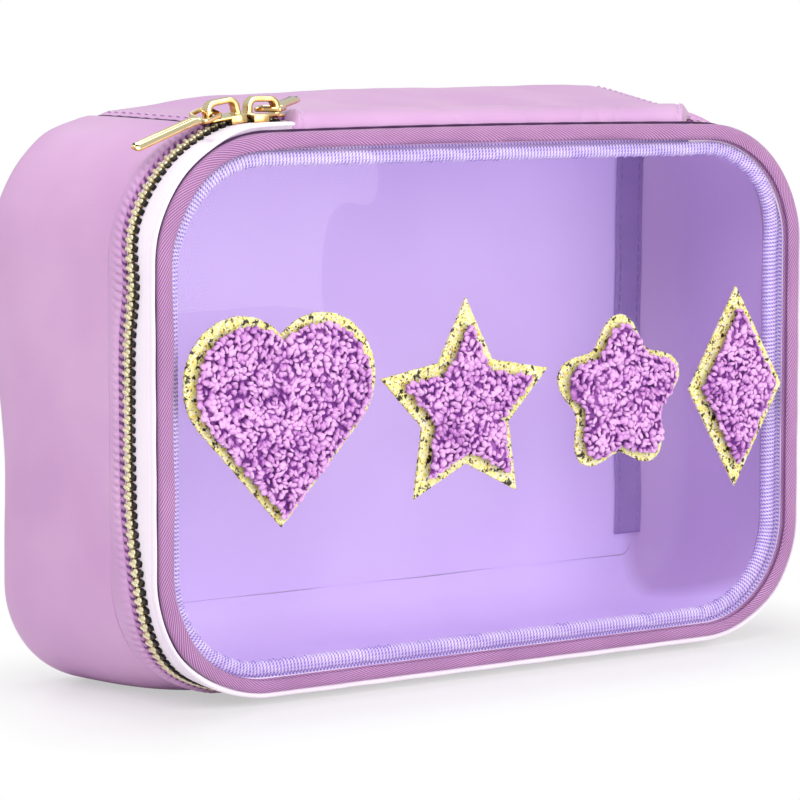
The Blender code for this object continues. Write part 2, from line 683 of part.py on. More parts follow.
def slider_body(name, frame, narrow_end, metal):
    """Slider plate over the chain; narrow_end is 1 or -1 along the track. Its front edge turns down."""
    half = SLIDER_LENGTH / 2
    wide, narrow = SLIDER_WIDE / 2, SLIDER_NARROW / 2
    side = [(-half, narrow), (-half + SLIDER_CHAMFER, wide), (0, wide), (half / 2, narrow),
            (half - SLIDER_CHAMFER, narrow), (half, narrow - SLIDER_CHAMFER)]
    outline = [(narrow_end * x, y) for x, y in side] + [(narrow_end * x, -y) for x, y in reversed(side)]
    builder = bmesh.new()
    extrude_outline(builder, outline, SLIDER_LIFT, SLIDER_RIM, frame)
    body = finish_object(name, builder, metal)
    builder = bmesh.new()
    inner = wide - SLIDER_FLANGE
    start, end = sorted((-narrow_end * (half - SLIDER_CHAMFER), 0))
    top = SLIDER_LIFT + SLIDER_PLATE / 2
    add_block(builder, (start, inner, -SLIDER_FLANGE_REACH), (end, wide, top), frame)
    flange = finish_object(f"{name}_flange_cutter", builder, metal)
    union = body.modifiers.new("flange", "BOOLEAN")
    union.operation = "UNION"
    union.solver = "EXACT"
    union.object = flange
    flange.hide_render = True
    flange.display_type = "WIRE"
    return body


def bridge(name, frame, metal):
    """Arched bar over the slider, with rounded shoulders."""
    half = BRIDGE_LENGTH / 2
    base = SLIDER_RIM + SEAT_GAP
    top = SLIDER_RIM + BRIDGE_HEIGHT
    outer, inner = [(half, base)], [(half - BRIDGE_BAR, base)]
    for side in (1, -1):
        for step in range(EDGE_STEPS + 1):
            turn = math.pi / 2 * step / EDGE_STEPS
            turn = turn if side == 1 else math.pi / 2 - turn
            x, z = half - BRIDGE_ROUNDING, top - BRIDGE_ROUNDING
            for line, radius in ((outer, BRIDGE_ROUNDING), (inner, BRIDGE_ROUNDING - BRIDGE_BAR)):
                line.append((side * (x + radius * math.cos(turn)), z + radius * math.sin(turn)))
    outer.append((-half, base))
    inner.append((-half + BRIDGE_BAR, base))
    builder = bmesh.new()
    extrude_outline(builder, outer + inner[::-1], -BRIDGE_WIDTH / 2, BRIDGE_WIDTH / 2, frame, across="y")
    return finish_object(name, builder, metal)


def pull(name, frame, metal):
    """Flat bar with a square eye. Its frame has x along the bar from the eye's near rail."""
    half_eye = EYE_INNER_WIDTH / 2 + EYE_RAIL
    half_hole = EYE_INNER_WIDTH / 2
    half_bar = PULL_WIDTH / 2
    near = -EYE_NEAR_RAIL / 2
    far = EYE_REACH + EYE_RAIL
    end = near + PULL_LENGTH
    side = [(near, half_eye), (far, half_eye), (far + EYE_RAIL, half_bar),
            (end - PULL_END_CHAMFER, half_bar), (end, half_bar - PULL_END_CHAMFER)]
    outline = side + [(x, -y) for x, y in reversed(side)]
    builder = bmesh.new()
    extrude_outline(builder, outline, -PULL_THICKNESS / 2, PULL_THICKNESS / 2, frame)
    body = finish_object(name, builder, metal)
    builder = bmesh.new()
    add_block(builder, (EYE_NEAR_RAIL / 2, -half_hole, -PULL_THICKNESS),
              (EYE_REACH, half_hole, PULL_THICKNESS), frame)
    hole = finish_object(f"{name}_eye_cutter", builder, metal)
    hole.hide_render = True
    hole.display_type = "WIRE"
    cut = body.modifiers.new("eye", "BOOLEAN")
    cut.operation = "DIFFERENCE"
    cut.solver = "EXACT"
    cut.object = hole
    return body


def axis_empty(name, place):
    """Empty on a joint's axis."""
    empty = bpy.data.objects.new(name, None)
    empty.location = place
    bpy.context.collection.objects.link(empty)
    return empty


def hang(pieces, carrier):
    """Parent pieces to a carrier without moving them."""
    bpy.context.view_layer.update()
    for piece in pieces:
        piece.parent = carrier
        piece.matrix_parent_inverse = carrier.matrix_world.inverted()


def sliders(metal):
    """Both sliders with their bridges and pulls, each moving piece hung on its joint's axis."""
    pivot_height = SLIDER_RIM + RUNNING_GAP + PULL_THICKNESS / 2
    frame_a = chain_frame(slider_a_station())
    body_a = slider_body("slider_a", frame_a, 1, metal)
    bridge_a = bridge("slider_a_bridge", frame_a, metal)
    end_rise = (SLIDER_LENGTH / 2 - PULL_A_PIVOT_X) * math.tan(PULL_A_DROP)
    pivot_a = frame_a @ Matrix.Translation((PULL_A_PIVOT_X, 0, pivot_height + end_rise))
    pull_a = pull("slider_a_pull", pivot_a @ Matrix.Rotation(PULL_A_DROP, 4, "Y"), metal)
    half_width, height, top_radius, _ = rim_sizes(CHAIN_DEPTH)
    corner = Vector((-(half_width - top_radius), SEAM_Y + CHAIN_DEPTH, height - top_radius))
    corner_axis = axis_empty("slider_a_axis", corner)
    pull_a_axis = axis_empty("slider_a_pull_axis", pivot_a.translation)
    hang([body_a, bridge_a, pull_a_axis], corner_axis)
    hang([pull_a], pull_a_axis)

    frame_b = chain_frame(top_station(SLIDER_B_X))
    body_b = slider_body("slider_b", frame_b, -1, metal)
    bridge_b = bridge("slider_b_bridge", frame_b, metal)
    leg = Vector((-(BRIDGE_LENGTH - BRIDGE_BAR) / 2, 0, pivot_height))
    swing = Matrix.Rotation(math.pi - PULL_B_SWING, 4, "Z")
    eye_place = swing.inverted() @ Vector((PULL_B_LEG_DISTANCE, -PULL_B_LEG_OFFSET, 0))
    pivot_b = frame_b @ Matrix.Translation(leg - eye_place) @ swing.inverted()
    pull_b = pull("slider_b_pull", pivot_b @ Matrix.Rotation(-PULL_B_LIFT, 4, "Y"), metal)
    slide_axis = axis_empty("slider_b_axis", frame_b.translation)
    pull_b_axis = axis_empty("slider_b_pull_axis", pivot_b.translation)
    hang([body_b, bridge_b, pull_b_axis], slide_axis)
    hang([pull_b], pull_b_axis)


def main():
    """Clear the scene and build the case."""
    for old in list(bpy.data.objects):
        bpy.data.objects.remove(old)

    leather = material("lilac_leather", (0.69, 0.40, 0.68), 0.42)
    lining_cloth = material("lavender_lining", (0.52, 0.36, 0.80), 0.75)
    strip_cloth = material("seam_strip_cloth", (0.24, 0.14, 0.46), 0.8)
    foam = material("white_foam", (0.85, 0.85, 0.86), 0.9)
    tape_cloth = material("white_zip_tape", (0.94, 0.84, 0.93), 0.85)
    binding_cloth = material("mauve_twill", (0.56, 0.27, 0.48), 0.8)
    braid_cloth = material("lavender_braid", (0.47, 0.34, 0.80), 0.85)
    window_finish = material("clear_film", (0.96, 0.97, 1.0), 0.05, alpha=0.2)
    metal = material("pale_gold", (0.93, 0.78, 0.42), 0.2, metallic=1)
    teeth_metal = material("antique_brass", (0.72, 0.58, 0.30), 0.3, metallic=1)
    glitter = material("gold_glitter", (0.90, 0.80, 0.32), 0.35, metallic=0.7)
    pile = material("orchid_pile", (0.55, 0.18, 0.72), 0.95)

    walls(leather)
    hem(leather)
    stiffeners(foam)
    linings(lining_cloth, strip_cloth)
    lid_pieces = zipper(tape_cloth, teeth_metal)
    lid_pieces.append(hinge_strip(leather))
    lid_pieces += lid_sheets(window_finish, binding_cloth, braid_cloth)
    lid_pieces += patches(glitter, pile)
    _, height, _, _ = rim_sizes(CHAIN_DEPTH)
    hinge_line = Vector((0, SEAM_Y + CHAIN_DEPTH, height + STRIP_CROWN + HINGE_RISE))
    hang(lid_pieces, axis_empty("lid_axis", hinge_line))
    sliders(metal)


main()
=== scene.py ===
"""Looks of a clear-fronted zip case: every sewn, woven and metal piece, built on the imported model.

A place on the case has three numbers: a length round its rim from the middle of the top, leftwards
first, a depth behind the lid's seam, and an inset inwards from the outermost surface.
"""

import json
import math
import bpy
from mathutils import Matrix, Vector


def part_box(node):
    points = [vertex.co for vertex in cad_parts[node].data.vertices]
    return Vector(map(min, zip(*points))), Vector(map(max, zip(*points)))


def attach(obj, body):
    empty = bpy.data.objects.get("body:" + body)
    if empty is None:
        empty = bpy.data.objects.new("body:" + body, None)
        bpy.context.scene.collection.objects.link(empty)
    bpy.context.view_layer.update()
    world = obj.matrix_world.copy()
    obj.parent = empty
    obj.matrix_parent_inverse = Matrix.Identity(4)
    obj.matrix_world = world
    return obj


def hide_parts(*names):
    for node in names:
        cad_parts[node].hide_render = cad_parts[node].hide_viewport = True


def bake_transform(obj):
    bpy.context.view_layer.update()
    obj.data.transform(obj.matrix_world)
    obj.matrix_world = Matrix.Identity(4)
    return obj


bl_info = {
    "name": "Zip Case Looks",
    "version": (1, 0, 0),
    "blender": (4, 5, 0),
    "location": "3D View > Sidebar > Zip Case",
    "description": "Leather, zipper, window, braid, lining and patches of a zip case on its packed model",
    "category": "Add Mesh",
}

import bpy
import numpy as np
from mathutils import Matrix, Vector

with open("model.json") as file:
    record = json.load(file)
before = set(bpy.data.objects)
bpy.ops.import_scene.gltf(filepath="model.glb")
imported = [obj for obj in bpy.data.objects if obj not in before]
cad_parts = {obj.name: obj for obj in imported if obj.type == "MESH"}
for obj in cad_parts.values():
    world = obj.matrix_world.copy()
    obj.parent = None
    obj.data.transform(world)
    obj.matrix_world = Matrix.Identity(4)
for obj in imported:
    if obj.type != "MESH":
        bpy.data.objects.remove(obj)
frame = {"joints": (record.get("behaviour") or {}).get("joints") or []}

LOW, HIGH = 0, 1
X, Y, Z = 0, 1, 2


def reach(node, side, axis):
    """A node's lowest or highest coordinate along an axis, in metres."""
    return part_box(node)[side][axis]


def middle(node):
    """Centre of a node's box."""
    low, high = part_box(node)
    return (low + high) / 2


MM = 0.001
SEAT_GAP = 0.3 * MM
BINDING_INSET = 2.2 * MM
BACK_EDGE_ROUNDING = 6 * MM
CORNER_RADIUS = 36 * MM
BACK_TOP_RADIUS = 38 * MM
BACK_BOTTOM_RADIUS = 28 * MM
LEATHER = 1 * MM
FOAM = 1 * MM
LINING = 0.5 * MM
PANEL_SEAM_ANGLE = math.radians(10.5)
LINING_INSET = 3 * MM
LINING_EDGE_ROUNDING = 14 * MM
LINING_SHARPENING = 9.5 * MM
SEAM_PULL_WIDTH = 1.7 * MM
SEAM_TAPE_SHIFT = 4.4 * MM
THREAD_INSET = 2.2 * MM
PUCKER_PITCH = 2.1 * MM
WALL_GATHER = 1.9 * MM
ZIPPER_GATHER = 1.6 * MM

SEAM_Y = reach("lid_binding", HIGH, Y)
CASE_DEPTH = reach("back_panel", HIGH, Y) - SEAM_Y
CASE_WIDTH = 2 * (reach("lid_binding", HIGH, X) + BINDING_INSET)
CASE_HEIGHT = reach("lid_binding", HIGH, Z) + BINDING_INSET
BACK_MARGIN = BACK_EDGE_ROUNDING + SEAT_GAP
BACK_SPREAD = reach("back_panel", HIGH, X) + BACK_MARGIN - CASE_WIDTH / 2
BACK_RISE = reach("back_panel", HIGH, Z) + BACK_MARGIN - CASE_HEIGHT
HEM_FRONT = reach("gusset_hem", LOW, Y) - SEAM_Y
HEM_REAR = reach("gusset_hem", HIGH, Y) - SEAM_Y
GUSSET_FRONT = HEM_REAR + SEAT_GAP
JOINTS = {joint["name"]: joint for joint in frame["joints"]}
CHAIN_DEPTH = JOINTS["lid_hinge"]["pos_m"][Y] - SEAM_Y
SECTIONS = 9


def srgb(red, green, blue):
    """Linear colour from screen values of 0 to 255.

    With c the share of 255, it is c / 12.92 up to 0.04045, and ((c + 0.055) / 1.055) ** 2.4 above.
    """
    screen = np.array([red, green, blue]) / 255
    linear = np.where(screen <= 0.04045, screen / 12.92, ((screen + 0.055) / 1.055) ** 2.4)
    return tuple(float(part) for part in linear)


def colour(name, description, red, green, blue):
    """Colour setting with its default."""
    return bpy.props.FloatVectorProperty(name=name, description=description, subtype="COLOR", size=3,
                                         min=0, max=1, default=srgb(red, green, blue))


def length(name, description, millimetres):
    """Length setting with its default."""
    return bpy.props.FloatProperty(name=name, description=description, subtype="DISTANCE", unit="LENGTH",
                                   min=0, default=millimetres * MM, precision=5)


class ZipCaseColours(bpy.types.PropertyGroup):
    """Colours of the case's finishes."""

    leather: colour("Leather", "Coated fabric of the walls", 222, 176, 220)
    leather_shade: colour("Leather shade", "Duller places of the coated fabric", 212, 162, 212)
    binding: colour("Binding", "Ridges of the twill binding", 216, 162, 208)
    # Painted shade: the colour of the shade in the twill's furrows.
    binding_shade: colour("Binding furrows", "Furrows of the twill binding", 142, 92, 150)
    tape: colour("Zipper tape", "Woven tape of the zipper", 254, 248, 254)
    braid: colour("Braid", "Ribs of the inner braid", 246, 234, 255)
    # Painted shade: the colour of the shade between the braid's ribs.
    braid_shade: colour("Braid furrows", "Furrows of the inner braid", 150, 112, 218)
    lining: colour("Lining", "Satin lining of the walls and the back", 198, 175, 226)
    lining_shade: colour("Lining shade", "Satin lining where it turns from the light", 178, 150, 198)
    seam: colour("Seam tape", "Tape over the lining's seams", 184, 160, 212)
    thread: colour("Thread", "Stitches", 246, 222, 246)
    gold: colour("Gold", "Plated sliders and pulls", 255, 240, 190)
    brass: colour("Brass", "Zipper teeth", 250, 240, 200)
    glitter: colour("Glitter", "Glitter backing of the patches", 253, 247, 160)
    pile: colour("Pile", "Looped yarn of the patches", 216, 146, 220)
    # Painted shade: the yarn's colour where it lies deep.
    pile_shade: colour("Pile shade", "Looped yarn in its hollows", 128, 58, 150)
    foam: colour("Foam", "Padding inside the walls", 240, 236, 244)
    # Painted shade, not enamel: the dark painted on the metal's undersides, grooves and tooth legs.
    recess: colour("Recess", "Enamel in the recesses of the metal", 24, 16, 12)
    # Painted shade: the amber painted on the metal's sides.
    amber: colour("Amber", "Gold seen in the sides of the metal", 214, 150, 62)
    # Painted shade: the colour of dark cords laid where the seams and the groove beside the binding lie in
    # shade.
    cord: colour("Seam cord", "Dark cord in the seam between lid and tape", 84, 44, 96)


class ZipCaseSizes(bpy.types.PropertyGroup):
    """Sizes of the fine work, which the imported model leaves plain."""

    corner_sag: length("Corner sag", "How far the unsupported rear left corner sinks", 4.8)
    wall_swell: length("Wall swell", "Height of the soft swells of the walls", 0.35)
    seam_valley: length("Seam valley", "How deep the sewn seams pull in", 0.9)
    stitch_pitch: length("Stitch pitch", "Distance from stitch to stitch", 3.0)
    stitch_radius: length("Stitch thickness", "Radius of the sewing thread", 0.2)
    rib_pitch: length("Rib pitch", "Distance from rib to rib of the braid", 1.15)
    rib_height: length("Rib height", "Height of the braid's ribs", 0.22)
    tooth_pitch: length("Tooth pitch", "Distance from tooth to tooth of the chain", 2.45)
    tuft_spacing: length("Tuft spacing", "Distance from loop to loop of the pile", 1.5)
    yarn_radius: length("Yarn thickness", "Radius of the looped yarn", 0.5)
    film_wave: length("Film wave", "Height of the window's soft waves", 0.1)


def settings():
    """The sizes of the fine work."""
    return bpy.context.scene.zip_case_sizes


def rim(station, depth, inset=0.0, sharpening=0.0):
    """Points on a rounded rectangle that widens and rises towards the back.

    With p the share of the depth, the back's extra size is taken p * p * (3 - 2 * p) times. Whole
    stations bound nine sections: odd ones are quarter circles, centre + radius * (cos a, sin a)
    with a a quarter turn times (section + 1) / 2 + part, and even ones are straight lines.
    """
    station, depth, inset, sharpening = np.broadcast_arrays(
        *(np.asarray(value, float) for value in (station, depth, inset, sharpening)))
    part = np.clip(depth / CASE_DEPTH, 0, 1)
    share = part * part * (3 - 2 * part)
    half = CASE_WIDTH / 2 + BACK_SPREAD * share - inset
    top = CASE_HEIGHT + BACK_RISE * share - inset
    radius_top = CORNER_RADIUS + (BACK_TOP_RADIUS - CORNER_RADIUS) * share - inset - sharpening
    radius_low = (CORNER_RADIUS + (BACK_BOTTOM_RADIUS - CORNER_RADIUS) * share - inset
                  - sharpening * BACK_BOTTOM_RADIUS / BACK_TOP_RADIUS)
    run_top, run_low = half - radius_top, half - radius_low
    high, low = top - radius_top, inset + radius_low
    turn = np.mod(station, SECTIONS)
    section = np.floor(turn)
    along = turn - section
    upper = (section == 1) | (section == 7)
    radius = np.where(upper, radius_top, radius_low)
    angle = math.pi / 2 * ((section + 1) / 2 + along)
    side = np.where(section < 4, -1.0, 1.0)
    corner_x = side * (half - radius) + radius * np.cos(angle)
    corner_z = np.where(upper, high, low) + radius * np.sin(angle)
    straights = [section == 0, section == 2, section == 4, section == 6, section == 8]
    x = np.select(straights, [-run_top * along, -half, run_low * (2 * along - 1), half,
                              run_top * (1 - along)], corner_x)
    z = np.select(straights, [top, high + (low - high) * along, inset, low + (high - low) * along, top],
                  corner_z)
    return np.stack([x, SEAM_Y + depth, np.maximum(z, 0)], -1)


def rim_table():
    """Lengths along the chain's line at the whole stations, for one turn before and two after."""
    share = (CHAIN_DEPTH / CASE_DEPTH) ** 2 * (3 - 2 * CHAIN_DEPTH / CASE_DEPTH)
    half = CASE_WIDTH / 2 + BACK_SPREAD * share
    top = CASE_HEIGHT + BACK_RISE * share
    radius_top = CORNER_RADIUS + (BACK_TOP_RADIUS - CORNER_RADIUS) * share
    radius_low = CORNER_RADIUS + (BACK_BOTTOM_RADIUS - CORNER_RADIUS) * share
    arc_top, arc_low = math.pi / 2 * radius_top, math.pi / 2 * radius_low
    side = top - radius_top - radius_low
    sections = [half - radius_top, arc_top, side, arc_low, 2 * (half - radius_low), arc_low, side, arc_top,
                half - radius_top]
    total = sum(sections)
    lengths = np.concatenate([[-total], -total + np.cumsum(sections * 3)])
    return np.arange(-SECTIONS, 2 * SECTIONS + 1), lengths, total


STATIONS, LENGTHS, RIM_LENGTH = rim_table()


def station_at(along):
    """Station at a length round the rim."""
    return np.interp(along, LENGTHS, STATIONS)


def length_at(station):
    """Length round the rim at a station."""
    return np.interp(station, STATIONS, LENGTHS)


def place(along, depth, inset=0.0, sharpening=0.0):
    """Points on the walls from lengths round the rim."""
    return rim(station_at(along), depth, inset, sharpening)


def together(x, y, z):
    """Points from three arrays of coordinates that fit each other's shapes."""
    return np.stack(np.broadcast_arrays(x, y, z), -1)


def unit(vectors):
    """Vectors scaled to length one."""
    return vectors / np.linalg.norm(vectors, axis=-1, keepdims=True)


def rim_frames(along, depth, inset=0.0):
    """Origin, direction along the rim, direction backwards and direction outwards, by differences."""
    step = 0.2 * MM
    origin = place(along, depth, inset)
    forward = unit(place(along + step, depth, inset) - place(along - step, depth, inset))
    back = unit(place(along, depth + step, inset) - place(along, depth - step, inset))
    outwards = unit(np.cross(back, forward))
    return origin, forward, back, outwards


def smooth_step(values):
    """Ease from 0 to 1: t * t * (3 - 2 * t)."""
    part = np.clip(values, 0, 1)
    return part * part * (3 - 2 * part)


def dip(distance, width):
    """Bell curve exp(-(d / w) ** 2)."""
    return np.exp(-(distance / width) ** 2)


def front_foot(points):
    """How far the lower left corner is gathered up behind the zipper, as a share from 0 to 1."""
    depth = points[..., Y] - SEAM_Y
    low = 1 - smooth_step(points[..., Z] / (24 * MM))
    return low * dip(points[..., X] + 87 * MM, 19 * MM) * dip(depth - 15 * MM, 11 * MM)


def settle(points, sagging=True):
    """Rear left corner sunk and bulged, rear edge arched, and lower left corner gathered up.

    The points' x and z are moved by products of eased shares of the width, depth and height. Where a
    piece doesn't sag, only the gather is left.
    """
    sag = settings().corner_sag if sagging else 0
    depth = points[..., Y] - SEAM_Y
    rear = smooth_step((depth - 0.2 * CASE_DEPTH) / (0.8 * CASE_DEPTH))
    x, z = points[..., X], points[..., Z]
    high = smooth_step((z - 0.45 * CASE_HEIGHT) / (0.5 * CASE_HEIGHT))
    left = smooth_step((-x - 0.3 * CASE_WIDTH) / (0.14 * CASE_WIDTH))
    slope = 0.9 * smooth_step((-x - 0.22 * CASE_WIDTH) / (0.17 * CASE_WIDTH))
    corner = smooth_step((-x - 0.41 * CASE_WIDTH) / (0.06 * CASE_WIDTH))
    moved = points.copy()
    moved[..., Z] -= sag * rear * high * slope * (1 - 0.4 * corner)
    moved[..., X] -= 0.5 * sag * rear * left * smooth_step((z - 0.3 * CASE_HEIGHT) / (0.4 * CASE_HEIGHT))
    arch = smooth_step((x + 0.21 * CASE_WIDTH) / (0.28 * CASE_WIDTH))
    arch = arch * (1 - smooth_step((x - 0.4 * CASE_WIDTH) / (0.1 * CASE_WIDTH)))
    moved[..., Z] += 0.25 * sag * rear * arch * smooth_step((z - 0.5 * CASE_HEIGHT) / (0.5 * CASE_HEIGHT))
    moved[..., Z] += WALL_GATHER * front_foot(points)
    return moved


def drawn(points):
    """The points of the zipper as the sewing holds it.

    It is raised under the sliders and along the bottom, lowered at the right end of the strip, and
    drawn forwards round the left corners by the sum of a * exp(-((z - c) / w) ** 2).
    """
    x, z = points[..., X], points[..., Z]
    depth = points[..., Y] - SEAM_Y
    high = smooth_step((z - 0.85 * CASE_HEIGHT) / (0.1 * CASE_HEIGHT))
    sliders = smooth_step((x + 93 * MM) / (14 * MM)) * smooth_step((-50 * MM - x) / (6 * MM)) * high
    right_end = smooth_step((x - 62 * MM) / (7 * MM))
    right_end = right_end * smooth_step((z - 0.6 * CASE_HEIGHT) / (0.3 * CASE_HEIGHT))
    bottom = (1 - smooth_step(z / (12 * MM))) * smooth_step((16 * MM - depth) / (8 * MM))
    corner = right_end * dip(x - 74 * MM, 7 * MM) * smooth_step((15 * MM - depth) / (4 * MM))
    moved = points.copy()
    moved[..., Z] += (0.9 * sliders - 1.5 * right_end - 1.1 * corner + 0.9 * bottom) * MM
    moved[..., Z] += ZIPPER_GATHER * front_foot(points)
    forwards = sum(far * MM * dip(z - height * MM, spread * MM)
                   for far, height, spread in ((0.6, 140, 12), (2.3, 112, 11), (4.3, 28, 16.5)))
    forwards = forwards * smooth_step(-x / (30 * MM)) * smooth_step((depth - 1.5 * MM) / (6 * MM))
    moved[..., Y] -= forwards * smooth_step((17.4 * MM - depth) / (5 * MM))
    return moved


def waves(points, size, seed, count=7):
    """Smooth noise about 0: a sum of sines along random directions, over the root of their number."""
    source = np.random.default_rng(seed)
    directions = unit(source.normal(size=(count, 3)))
    pitches = size * source.uniform(0.7, 1.6, count)
    phases = source.uniform(0, 2 * math.pi, count)
    turns = np.tensordot(points, directions.T, axes=1) * (2 * math.pi / pitches) + phases
    return np.sin(turns).sum(-1) / math.sqrt(count)


def rounded_loop(corners, radius, steps=3):
    """Closed outline with each corner cut by a curve.

    It is (1 - t)^2 A + 2 t (1 - t) C + t^2 B, where A and B lie on the two edges, a radius from the corner C.
    """
    corners = np.asarray(corners, float)
    before, after = np.roll(corners, 1, 0), np.roll(corners, -1, 0)
    radius = np.broadcast_to(np.asarray(radius, float), len(corners))[:, None]
    to_before, to_after = before - corners, after - corners
    reach_before = np.minimum(radius / np.linalg.norm(to_before, axis=1, keepdims=True), 0.49)
    reach_after = np.minimum(radius / np.linalg.norm(to_after, axis=1, keepdims=True), 0.49)
    start, end = corners + to_before * reach_before, corners + to_after * reach_after
    t = np.linspace(0, 1, steps + 1)[None, :, None]
    curve = (1 - t) ** 2 * start[:, None] + 2 * t * (1 - t) * corners[:, None] + t ** 2 * end[:, None]
    return curve.reshape(-1, corners.shape[1])


def lengths_walked(line):
    """Length walked along a line at each of its points."""
    return np.concatenate([[0], np.cumsum(np.linalg.norm(np.diff(line, axis=0), axis=1))])


def values_at(wanted, walked, values):
    """A line's values, one row for each of its points, at lengths walked along it."""
    return np.stack([np.interp(wanted, walked, column) for column in values.T], -1)


def resample(outline, count):
    """Closed outline as evenly spaced points."""
    closed = np.vstack([outline, outline[:1]])
    walked = lengths_walked(closed)
    return values_at(np.linspace(0, walked[-1], count, endpoint=False), walked, closed)


def sideways(line):
    """Unit normals of a line in its plane: its direction (a, b) turned to (-b, a)."""
    ahead = unit(np.gradient(line, axis=0))
    return np.stack([-ahead[:, 1], ahead[:, 0]], -1)


def rectangle(low_x, low_y, high_x, high_y):
    """Corners of a rectangle, anticlockwise."""
    return np.array([(low_x, low_y), (high_x, low_y), (high_x, high_y), (low_x, high_y)])


def grid_faces(rows, columns, wrap_rows, wrap_columns):
    """Corner numbers of every cell of a grid of points."""
    i, j = np.meshgrid(np.arange(rows if wrap_rows else rows - 1),
                       np.arange(columns if wrap_columns else columns - 1), indexing="ij")
    below, beside = (i + 1) % rows, (j + 1) % columns
    return np.stack([i * columns + j, below * columns + j, below * columns + beside,
                     i * columns + beside], -1).reshape(-1, 4)


def grid_uv(points, wrap_rows, wrap_columns):
    """Two coordinates in metres for every cell corner: length along the rows, and across them."""
    rows, columns = points.shape[:2]
    down = np.linalg.norm(np.diff(points, axis=0, append=points[:1]), axis=-1).mean(1)
    across = np.linalg.norm(np.diff(points, axis=1, append=points[:, :1]), axis=-1).mean(0)
    u = np.concatenate([[0], np.cumsum(down)])
    v = np.concatenate([[0], np.cumsum(across)])
    i, j = np.meshgrid(np.arange(rows if wrap_rows else rows - 1),
                       np.arange(columns if wrap_columns else columns - 1), indexing="ij")
    corners = [(u[i], v[j]), (u[i + 1], v[j]), (u[i + 1], v[j + 1]), (u[i], v[j + 1])]
    return np.stack([np.stack(corner, -1) for corner in corners], -2).reshape(-1, 2)


def outward(points, faces):
    """The faces, turned over if the sum of the shell's corner cross products, its volume, is negative."""
    spot = points.mean(0)
    volume = 0.0
    for group in faces:
        corners = points[group] - spot
        centre = corners.mean(1)
        for edge in range(group.shape[1]):
            follow = corners[:, (edge + 1) % group.shape[1]]
            volume += np.einsum("ij,ij->i", centre, np.cross(corners[:, edge], follow)).sum()
    flip = volume < 0
    return [group[:, ::-1] if flip else group for group in faces], flip


def mesh_object(name, points, faces, finish, uv=None, sharp=None, hollow=None):
    """Object from points and arrays of faces.

    It has its material, a UV for the first array's corners and the share of painted shade at each point.
    """
    mesh = bpy.data.meshes.new(name)
    mesh.vertices.add(len(points))
    mesh.vertices.foreach_set("co", points.astype(np.float32).ravel())
    sizes = np.concatenate([np.full(len(group), group.shape[1]) for group in faces])
    corners = np.concatenate([group.ravel() for group in faces])
    mesh.loops.add(len(corners))
    mesh.loops.foreach_set("vertex_index", corners.astype(np.int32))
    mesh.polygons.add(len(sizes))
    starts = np.concatenate([[0], np.cumsum(sizes)[:-1]])
    mesh.polygons.foreach_set("loop_start", starts.astype(np.int32))
    mesh.polygons.foreach_set("loop_total", sizes.astype(np.int32))
    mesh.update(calc_edges=True)
    if uv is not None:
        flat = np.zeros((len(corners), 2), np.float32)
        flat[:len(uv)] = uv
        mesh.uv_layers.new(name="cloth").data.foreach_set("uv", flat.ravel())
    if hollow is not None:
        mesh.attributes.new("hollow", "FLOAT", "POINT").data.foreach_set("value", hollow.astype(np.float32))
    mesh.shade_smooth()
    if sharp is not None:
        mesh.set_sharp_from_angle(angle=math.radians(sharp))
    mesh.materials.append(finish)
    piece = bpy.data.objects.new(name, mesh)
    bpy.context.scene.collection.objects.link(piece)
    return piece


def shell(points, wrap_rows=False, wrap_columns=True):
    """Closed shell from a grid of points whose columns run round its section. Open ends get flat caps."""
    rows, columns = points.shape[:2]
    faces = [grid_faces(rows, columns, wrap_rows, wrap_columns)]
    if not wrap_rows:
        first = np.arange(columns)[None, :]
        faces.append(np.concatenate([first, first[:, ::-1] + (rows - 1) * columns]))
    flat = points.reshape(-1, 3)
    faces, flip = outward(flat, faces)
    return flat, faces, flip


def sheet_piece(name, points, finish, wrap_rows=False, wrap_columns=True, sharp=None):
    """Object of one shell, with its cloth lengths as a UV map."""
    flat, faces, flip = shell(points, wrap_rows, wrap_columns)
    uv = grid_uv(points, wrap_rows, wrap_columns).reshape(-1, 4, 2)
    uv = (uv[:, ::-1] if flip else uv).reshape(-1, 2)
    return mesh_object(name, flat, faces, finish, uv, sharp)


def joined_piece(name, shells, finish, sharp=None, hollow=None):
    """Object of several closed shells. The painted shade is the share of shade painted on each one's points,
    a number or an array.
    """
    points = [shell_points for shell_points, _, _ in shells]
    starts = np.cumsum([0] + [len(part) for part in points])
    faces = [group + start for (_, groups, _), start in zip(shells, starts) for group in groups]
    if hollow is not None:
        hollow = np.concatenate([np.broadcast_to(value, len(part)) for value, part in zip(hollow, points)])
    return mesh_object(name, np.concatenate(points), faces, finish, None, sharp, hollow)


# A face with this many corners or more is an end cap.
CAP_CORNERS = 12


def painted_facing_shade(piece_shell, outwards):
    """Painted shade of a metal shell: 0 where its points face outwards, 0.3 at its sides, up to 0.85
    underneath.

    A point's direction is the sum of the cross products of the faces round it. End caps of many corners
    are left out.
    """
    points, faces, _ = piece_shell
    normals = np.zeros_like(points)
    for group in faces:
        if group.shape[1] < CAP_CORNERS:
            across = np.cross(points[group[:, 2]] - points[group[:, 0]],
                              points[group[:, -1]] - points[group[:, 1]])
            for corner in range(group.shape[1]):
                np.add.at(normals, group[:, corner], across)
    facing = (normals @ outwards) / np.maximum(np.linalg.norm(normals, axis=1), 1e-18)
    return np.clip(0.3 - 0.6 * facing, 0, 0.85)


def domed_shell(rings):
    """Closed shell from rings of points, with a fan of triangles over its first and last ring."""
    count, columns = rings.shape[:2]
    points = np.concatenate([rings.reshape(-1, 3), rings[:1].mean(1), rings[-1:].mean(1)])
    start = np.arange(columns)
    follow = (start + 1) % columns
    last = (count - 1) * columns
    bottom = np.stack([np.full(columns, count * columns), start, follow], -1)
    top = np.stack([np.full(columns, count * columns + 1), last + follow, last + start], -1)
    faces, flip = outward(points, [grid_faces(count, columns, False, True), np.concatenate([bottom, top])])
    return points, faces, flip


